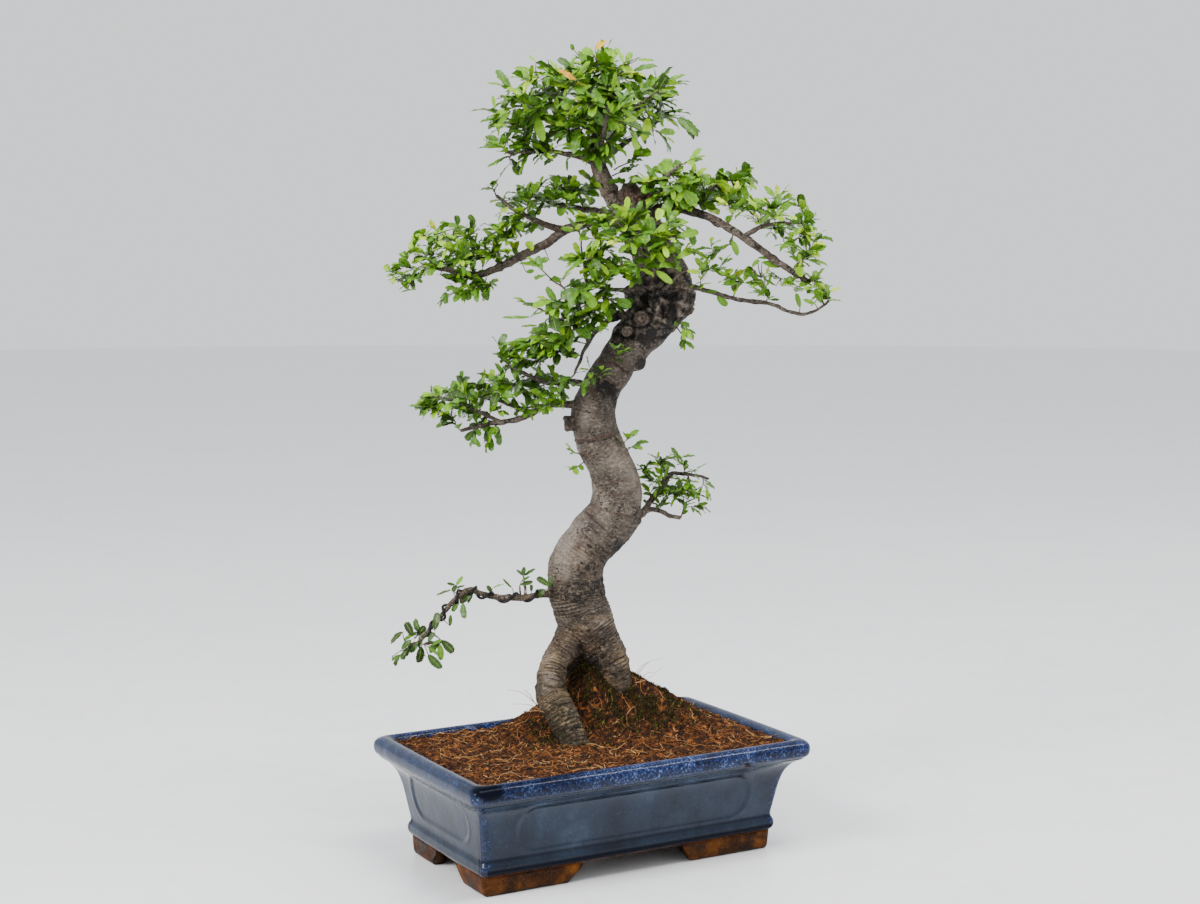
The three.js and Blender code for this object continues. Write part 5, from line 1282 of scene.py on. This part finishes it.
def build_wood():
    points, quads, triangles = thick_wood()
    points = eased(points, quads)
    normals = normals_of(points, quads)
    cores = nearest_cores(points)
    share = np.clip(cores[:, 3] / 20, 0.3, 1.2)
    run = cores[:, 7] + np.sum((points - cores[:, :3]) * cores[:, 4:7], axis=1) * 1.25
    up = points[:, 2]
    stretched = points * np.array([1.0, 1.0, 0.28])
    flat = np.column_stack([points[:, 0] * 0.3, points[:, 1] * 0.3, run])
    rise = share * (1.6 * noise_at(points, 24.0, 1.0) + 0.9 * noise_at(stretched, 8.0, 2.0))
    wrinkle = 1 - np.abs(noise_at(flat, 4.2, 3.0)) * 2.6
    folded = 1 - fade(up, 215, 262)
    rise += share * (0.16 + 0.84 * folded) * 0.9 * np.clip(wrinkle, 0, 1)
    leg = 1 - fade(up, 168, 200)
    rise += leg * (1.3 * noise_at(flat, 5.0, 31.0) + 0.7 * noise_at(points, 3.0, 32.0))
    rise += 0.42 * noise_at(points, 5.5, 4.0) + 0.3 * noise_at(points, 2.6, 5.0)
    knotty = np.exp(-((up - KNOTTY[0]) / KNOTTY[1]) ** 4)
    rise += knotty * (2.2 * noise_at(points, 11.0, 6.0)
                      - 2.2 * fade(np.abs(noise_at(points, 7.0, 7.0)), 0.14, 0.0))
    # What the photograph shows on the side that faces it
    columns, rows, _ = pixel_of(points)
    facing = fade(-np.sum(normals * unit(points - CAMERA_PLACE), axis=1), 0.02, 0.3)
    jitter = 1 + 0.6 * noise_at(points, 5.0, 9.0)
    dark, dead = np.zeros(len(points)), np.zeros(len(points))
    spots = [(np.exp(-((((columns - column) / wide) ** 2 + ((rows - row) / high) ** 2)
                       * jitter) ** 1.6), *rest) for column, row, wide, high, *rest in MARKS]
    spots += [(hump(line_distance(columns, rows, line) * jitter, 0, wide), -deep, *rest)
              for line, wide, deep, *rest in CREASES]
    for spot, lift, black, bare in spots:
        spot = spot * facing
        rise += lift * spot
        dark, dead = dark + black * spot, dead + bare * spot
    # Dark band below the bend, wet feet and the knotty stretch
    level = up + 3 * noise_at(points, 16.0, 10.0)
    band = fade(level, *BAND[:2]) * (1 - fade(level, *BAND[2:]))
    rise -= 0.8 * band * fade(noise_at(points, 3.4, 33.0), -0.2, 0.3)
    low = 1 - fade(up, 150, 330)
    dark += 0.5 * band + 0.3 * low * fade(noise_at(flat, 9.0, 12.0), 0.0, 0.5)
    foot = 1 - fade(up + 12 * noise_at(points, 14.0, 15.0), 118, 168)
    dark += 0.38 * foot
    rise += foot * 0.8 * noise_at(points, 3.4, 16.0)
    gnarl = noise_at(points, 6.5, 13.0)
    dark += knotty * (0.14 + 1.0 * fade(-gnarl, 0.06, 0.36) - 0.9 * fade(gnarl, 0.08, 0.4))
    # Painted shade under the foliage: darker from 392 mm up, and more from 540 mm
    dark += 0.12 * fade(up, 392, 440) + 0.18 * fade(up, 540, 575)
    for column, row, reach in RINGED:
        uneven = 1 + 0.12 * noise_at(points, 4.0, 34.0)
        away = np.hypot(columns - column, rows - row) * uneven / reach
        inside = np.exp(-away ** 8) * facing
        ring = fade(np.sin(away * 15.0), -0.1, 0.7)
        dark = dark * (1 - inside) + inside * (1.0 * ring - 0.85)
        dead = dead + 0.35 * inside
        rise = rise * (1 - 0.6 * inside) + inside * (1.6 - 0.9 * ring)
        moat = hump(away, 1.25, 0.2) * facing
        rise, dark = rise - 2.2 * moat, dark + 1.1 * moat
    # Torn dead wood at the stem's cut top
    torn = hump(up, *TORN) * fade(up, 592, 606) * fade(points[:, 0], 26, 34)
    dead += torn
    rise += torn * (3.0 * noise_at(stretched, 4.0, 14.0) + 1.4 * noise_at(stretched, 1.8, 17.0))
    shape = Shape()
    shape.add(points + normals * rise[:, None], quads, triangles,
              values=np.column_stack([np.clip(dark, -1, 1.2), run * MM, np.clip(dead, 0, 1)]))
    shape.piece("trunk_wood", [BARK], "bark", ["trunk"], turned=True)


def build_limbs():
    """Limbs with knuckles and a rough skin; they go with the trunk."""
    shape = Shape()
    for name, points in LIMBS.items():
        line = samples(points, 1.7)
        if name.startswith(("crown", "front", "mid")):
            line[:, 3] *= np.linspace(0.8, 0.6, len(line))
        line, radii = line[:, :3], line[:, 3:]
        sides = 14 if radii[0, 0] > 3.6 else 10
        skin = rings_round(line, np.repeat(radii, sides, axis=1)).reshape(-1, 3)
        rough = 0.16 * noise_at(skin, 5.0, 20.0) + 0.12 * noise_at(skin, 2.2, 21.0)
        knuckles = 0.22 * fade(noise_at(line, 6.0, 22.0), 0.12, 0.5)
        rough = rough.reshape(len(line), sides) * np.clip(3.2 / radii, 0.6, 1.4)
        relief = 1 + rough + knuckles[:, None]
        sway = 0.9 * np.column_stack([noise_at(line, 9.0, 23.0 + k) for k in range(3)])
        sway *= np.minimum(np.arange(len(line)) / 8, 1)[:, None]
        dark = np.clip(0.04 + 0.6 * noise_at(skin, 7.0, 26.0), -0.4, 0.6)
        run = np.repeat(np.arange(len(line)) * 0.0017, sides)
        values = np.column_stack([np.append(dark, [0.2, 0.2]), np.append(run, [0.0, 0.0]),
                                  np.zeros(len(skin) + 2)])
        shape.add(*tube(line + sway, radii[:, 0], sides, relief), values=values)
    shape.piece("limb_wood", [BARK], "bark", ["trunk"], turned=True)


def build_wire():
    limb = LIMBS["wired"]
    steps = WIRE_TURNS * WIRE_STEPS
    share = np.arange(steps + 1) / steps
    spots = WIRE_FROM + (WIRE_TO - WIRE_FROM) * share
    centre = smooth_curve(limb, spots)
    tangents = unit((smooth_curve(limb, spots + 0.01) - smooth_curve(limb, spots - 0.01))[:, :3])
    across = unit(np.cross(tangents, [0, 0, 1]))
    over = np.cross(across, tangents)
    angle = (share * WIRE_TURNS * 2 * math.pi)[:, None]
    reach = (centre[:, 3] + WIRE_RADIUS + 0.15)[:, None]
    line = centre[:, :3] + reach * (across * np.cos(angle) + over * np.sin(angle))
    shape = Shape()
    shape.add(*tube(line, np.full(len(line), WIRE_RADIUS), 12))
    shape.piece("training_wire_round", [WIRE], "wire", ["training_wire"], turned=True)


# ---- Twigs and leaves ----

class Leaves:
    """Leaves of one pad: places, ways they point and face, sizes and tones."""

    def __init__(self):
        self.rows = []

    def add(self, base, along, face, length, wide, tone):
        """Adds a leaf with a droop, fold, twist, lean and point of its own."""
        self.rows.append((
            *base, *along, *face, length, wide, tone, rng.uniform(*LEAF_DROOP),
            rng.uniform(*LEAF_FOLD), rng.normal(0, LEAF_TWIST), rng.normal(0, LEAF_LEAN),
            rng.uniform(0, 0.9) if wide > WIDE_LEAF else 1.0))

    def put_in(self, shape):
        """All leaves at once: axes are the leaf, its stations and its three columns."""
        rows = np.array(self.rows)
        base, along, face = rows[:, 0:3], unit(rows[:, 3:6]), rows[:, 6:9]
        face = unit(face - along * np.sum(face * along, axis=1, keepdims=True))
        aside = np.cross(face, along)
        base, along, aside, face = (v[:, None, None] for v in (base, along, aside, face))
        length, wide, tone, droop, fold, twist, lean, sharp = rows[:, 9:17].T[:, :, None, None]
        spots = np.concatenate([[-0.13], np.linspace(0, 1, LEAF_STATIONS - 1)])
        body = np.clip(spots, 0, 1)
        pointed = 2.46 * body ** 0.66 * (1 - body) ** 0.62
        blunt = 1.86 * body ** 0.62 * (1 - body) ** 0.34
        teeth, shift = np.ones(LEAF_STATIONS), np.zeros(LEAF_STATIONS)
        teeth[3:-2:2], shift[2:-2:2] = 0.86, 0.03
        spots, body, pointed, blunt, teeth, shift = (
            v[None, :, None] for v in (spots, body, pointed, blunt, teeth, shift))
        outline = blunt + sharp * (pointed - blunt)
        outline = np.where(spots <= 0, 0.05, np.maximum(outline, 0.035))
        edge = np.abs(LEAF_COLUMNS)
        width = 0.5 * wide * outline * length * LEAF_COLUMNS * np.where(edge == 1, teeth, 1.0)
        run = spots * length + np.where(edge == 1, shift, 0.0) * length
        bent = droop * length * np.maximum(spots, 0) ** 2
        lift = np.abs(width) * fold - bent + width * (twist * body)
        ripple = 0.04 * np.sin(spots * 17) * length * edge * 0.6
        side = width + lean * body ** 2 * length * 0.5
        points = (base + run[..., None] * along + side[..., None] * aside
                  + (lift + ripple)[..., None] * face)
        told = np.stack(np.broadcast_arrays(body, LEAF_COLUMNS, tone), axis=-1)
        cell = grid_of(LEAF_STATIONS, len(LEAF_COLUMNS))
        starts = np.arange(len(rows))[:, None, None] * cell.size
        shape.add(points, quads_of(cell, closed=False) + starts, look=1, values=told.reshape(-1, 3))


def facing_up(outward, drop):
    return unit(outward * 0.4 + np.array([0, -drop, 0.8]) + rng.normal(0, 0.3, 3))


def grow_twig(shape, leaves, foot, way, tip, centre, radius, size, narrow, tone, bare):
    """A twig from foot to tip with leaves in two rows; returns its points and their ways."""
    length = np.linalg.norm(tip - foot)
    middle = foot + (tip - foot) * 0.5 + way * length * 0.14 + rng.normal(0, 0.045, 3) * length
    count = max(int(length / 4), 3)
    line = smooth_curve([foot, middle, tip], np.linspace(0, 2, count + 1))
    line[1:-1] += rng.normal(0, 0.5, (count - 1, 3))
    ways = ways_of(line)
    shape.add(*tube(line, np.linspace(radius, 0.3, len(line)), 5 if length > 16 else 4))
    outward = unit(tip - centre)
    run = length * bare
    side = 1 if rng.random() < 0.5 else -1
    while run < length:
        share = run / length
        k = min(int(share * count), count - 1)
        base = line[k] + (line[k + 1] - line[k]) * (share * count - k)
        up = facing_up(outward, 0.15)
        aside = unit(np.cross(ways[k], up)) * side
        angle = math.radians(rng.normal(LEAF_ANGLE, LEAF_ANGLE_SPREAD) - 14 * share)
        along = (ways[k] * math.cos(angle) + aside * math.sin(angle) + up * rng.normal(0.02, 0.16)
                 + outward * 0.3)
        grown = (0.56 + 0.5 * math.sin(math.pi * (0.12 + 0.66 * share))) * rng.uniform(0.7, 1.18)
        wide = (0.58 - 0.14 * share) * narrow * rng.uniform(0.84, 1.16)
        leaves.add(base, along, up, size * grown, wide,
                   float(np.clip(tone + 0.22 * (share - 0.5) + rng.normal(0, 0.13), 0.02, 0.84)))
        side = -side
        run += size * LEAF_SPACING * rng.uniform(0.75, 1.3)
    up = facing_up(outward, 0.1)
    leaves.add(line[-1], unit(ways[-1] + 0.15 * up), up, size * rng.uniform(0.55, 0.95),
               0.42 * narrow, float(np.clip(tone + rng.uniform(0.05, 0.3), 0.02, 0.86)))
    return line, ways


def set_leaves(shape, leaves, listed, places, shade):
    """Leaves at given places in the photograph, each on a twig from the nearest bearer."""
    columns, rows, _ = pixel_of(places)
    for column, row, tip_column, tip_row, wide, tone in listed:
        away = np.hypot(columns - column, rows - row)
        nearest = int(np.argmin(away + 0.04 * places[:, 1]))
        bearer = places[nearest]
        deep = bearer[1] - min(away[nearest] * 0.5, 7.0)
        foot = at_pixel(column, row, deep)
        tip = at_pixel(tip_column, tip_row, deep + rng.normal(-1.5, 2.5))
        gap = np.linalg.norm(foot - bearer)
        if gap > 1.0:
            middle = (foot + bearer) / 2 + rng.normal(0, 0.06, 3) * gap
            line = smooth_curve([bearer, middle, foot], np.linspace(0, 2, 6))
            shape.add(*tube(line, np.linspace(0.6, 0.34, 6), 5))
        leaves.add(foot, tip - foot, [rng.normal(0, 0.3), -0.8, 0.5 + rng.normal(0, 0.25)],
                   np.linalg.norm(tip - foot), wide, max(tone + shade + rng.normal(0, 0.03), 0.02))


def build_pad(name, limbs, size, narrow, shade, clouds):
    """Twigs and leaves on one group of limbs."""
    shape, leaves = Shape(), Leaves()
    crown = name == "crown"
    bearers = []
    for limb in limbs:
        line = samples(LIMBS[limb], 3.0)
        start = int(len(line) * (0.12 if crown else 0.2))
        bearers.append(np.column_stack([line[:, :3], ways_of(line[:, :3]), line[:, 3]])[start:])
    bearers = np.vstack(bearers)
    places, ways, radii = bearers[:, :3], bearers[:, 3:6], bearers[:, 6]
    centre = places.mean(axis=0) - np.array([0, 0, 12.0])
    targets = [(np.array(tip, float), 0.5) for limb in limbs for tip in SPRAY_TIPS.get(limb, ())]
    for column, row, deep, wide, high, far, count in clouds:
        middle = at_pixel(column, row, deep)
        for _ in range(int(TWIGS_PER_COUNT * count)):
            away = unit(rng.normal(size=3)) * rng.uniform(0.12, 1.0) ** 0.42
            target = middle + away * np.array([wide, far, high]) * 0.93
            targets.append((target, np.linalg.norm(away)))
    near = [np.min(np.linalg.norm(places - target, axis=1)) for target, _ in targets]
    for index in np.argsort(near):
        target, out = targets[index]
        away = target - places
        reach = np.linalg.norm(away, axis=1)
        # A twig leaves its bearer forwards or sideways, never back along it
        back = -np.sum(away * ways, axis=1) / np.maximum(reach, 1e-6)
        cost = reach * (1 + 0.6 * np.maximum(back, 0)) + 0.4 * np.maximum(-away[:, 2], 0)
        chosen = int(np.argmin(np.where(reach < 6, 1e6, cost)))
        length = float(reach[chosen])
        if length > FURTHEST_BEARER:
            continue
        young = crown and out > 0.8 and rng.random() < 0.75
        # Leaves higher up and further out in their cloud are lighter, and the inner ones darker:
        # painted light and shade
        tone = 0.34 + shade + 0.22 * (out - 0.7) + 0.10 * (target[2] - centre[2]) / 60
        tone += rng.normal(0, 0.06)
        longer, slimmer, fresher = (1.08, 0.6, 0.03) if young else (1.0, 1.0, 0.0)
        radius = min(radii[chosen] * 0.8, 0.55 + 0.014 * length)
        line, headings = grow_twig(
            shape, leaves, places[chosen], ways[chosen], target, centre, radius,
            size * longer, narrow * slimmer, tone + fresher, 0.45 if length > LONG_TWIG else 0.22)
        places = np.vstack([places, line[2:-1]])
        ways = np.vstack([ways, headings[2:-1]])
        radii = np.concatenate([radii, np.linspace(radius, 0.4, len(line))[2:-1]])
    for foot, tip, length in SHOOTS if name == "front" else ():
        foot, tip = at_pixel(*foot), at_pixel(*tip)
        grow_twig(shape, leaves, foot, unit(tip - foot), tip, foot, 0.7, length, 1.0, 0.4, 0.25)
    set_leaves(shape, leaves, SET_LEAVES.get(name, ()), places, SET_LEAF_SHADES.get(name, -0.05))
    leaves.put_in(shape)
    nodes = [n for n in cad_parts
             if n.startswith("spray_") and n[len("spray_"):].rsplit("_", 1)[0] in limbs]
    shape.piece("foliage_" + name, [YOUNG_BARK, LEAF], "foliage", nodes, turned=True)


# ---- Studio ----

def area_light(name, place_at, target, size, power, high=0.0):
    light = bpy.data.lights.new(name, "AREA")
    light.shape = "RECTANGLE" if high else "DISK"
    light.size = size
    if high:
        light.size_y = high
    light.energy = power
    lamp = put(name, light)
    lamp.location = place_at
    lamp.rotation_euler = (Vector(target) - Vector(place_at)).to_track_quat("-Z", "Y").to_euler()


def build_floor():
    look = Look("pale_floor")
    vein = look.span(look.noise(3.0, 6, 0.6, 1.2), 0.47, 0.53)
    look.color = srgb(238, 239, 240)
    look.paint((206, 208, 210), look.times(vein, look.less(vein)), 0.5)
    look.finish(rough=0.32)
    angles = np.arange(FLOOR_SIDES) / FLOOR_SIDES * 2 * math.pi
    mesh = bpy.data.meshes.new("floor")
    rim = [(FLOOR_RADIUS * math.cos(a), FLOOR_RADIUS * math.sin(a), -FLOOR_DROP) for a in angles]
    mesh.from_pydata(rim, [], [tuple(range(FLOOR_SIDES))])
    mesh.materials.append(look.material)
    put("floor", mesh)


def build_studio():
    build_floor()
    world = bpy.data.worlds.new("studio")
    world.use_nodes = True
    sky = world.node_tree.nodes["Background"].inputs
    sky["Color"].default_value = (0.95, 0.97, 1.0, 1)
    sky["Strength"].default_value = 1.15
    bpy.context.scene.world = world
    area_light("key", (-2.5, -0.5, 1.9), (0, 0, 0.4), 1.3, 120)
    area_light("top", (0.1, -0.7, 2.5), (0, 0, 0.4), 1.0, 34)
    area_light("strip", (1.6, -0.9, 2.1), (1.6, 0, 0.1), 2.4, 44, 0.2)
    camera = bpy.data.cameras.new("camera")
    camera.sensor_width = SENSOR_WIDTH
    camera.sensor_fit = "HORIZONTAL"
    camera.lens = FOCAL_PIXELS * SENSOR_WIDTH / PHOTO_WIDTH
    camera.clip_start = 0.05
    holder = put("camera", camera)
    holder.location = Vector((turn(CAMERA_PLACE) * MM).tolist())
    holder.rotation_euler = (math.pi / 2 - CAMERA_PITCH, 0, -TREE_TURN)
    bpy.context.scene.camera = holder


build_studio()
build_pot()
build_soil()
build_fibres()
build_moss()
build_wood()
build_limbs()
build_wire()
for pad_name, pad in PADS.items():
    build_pad(pad_name, *pad)
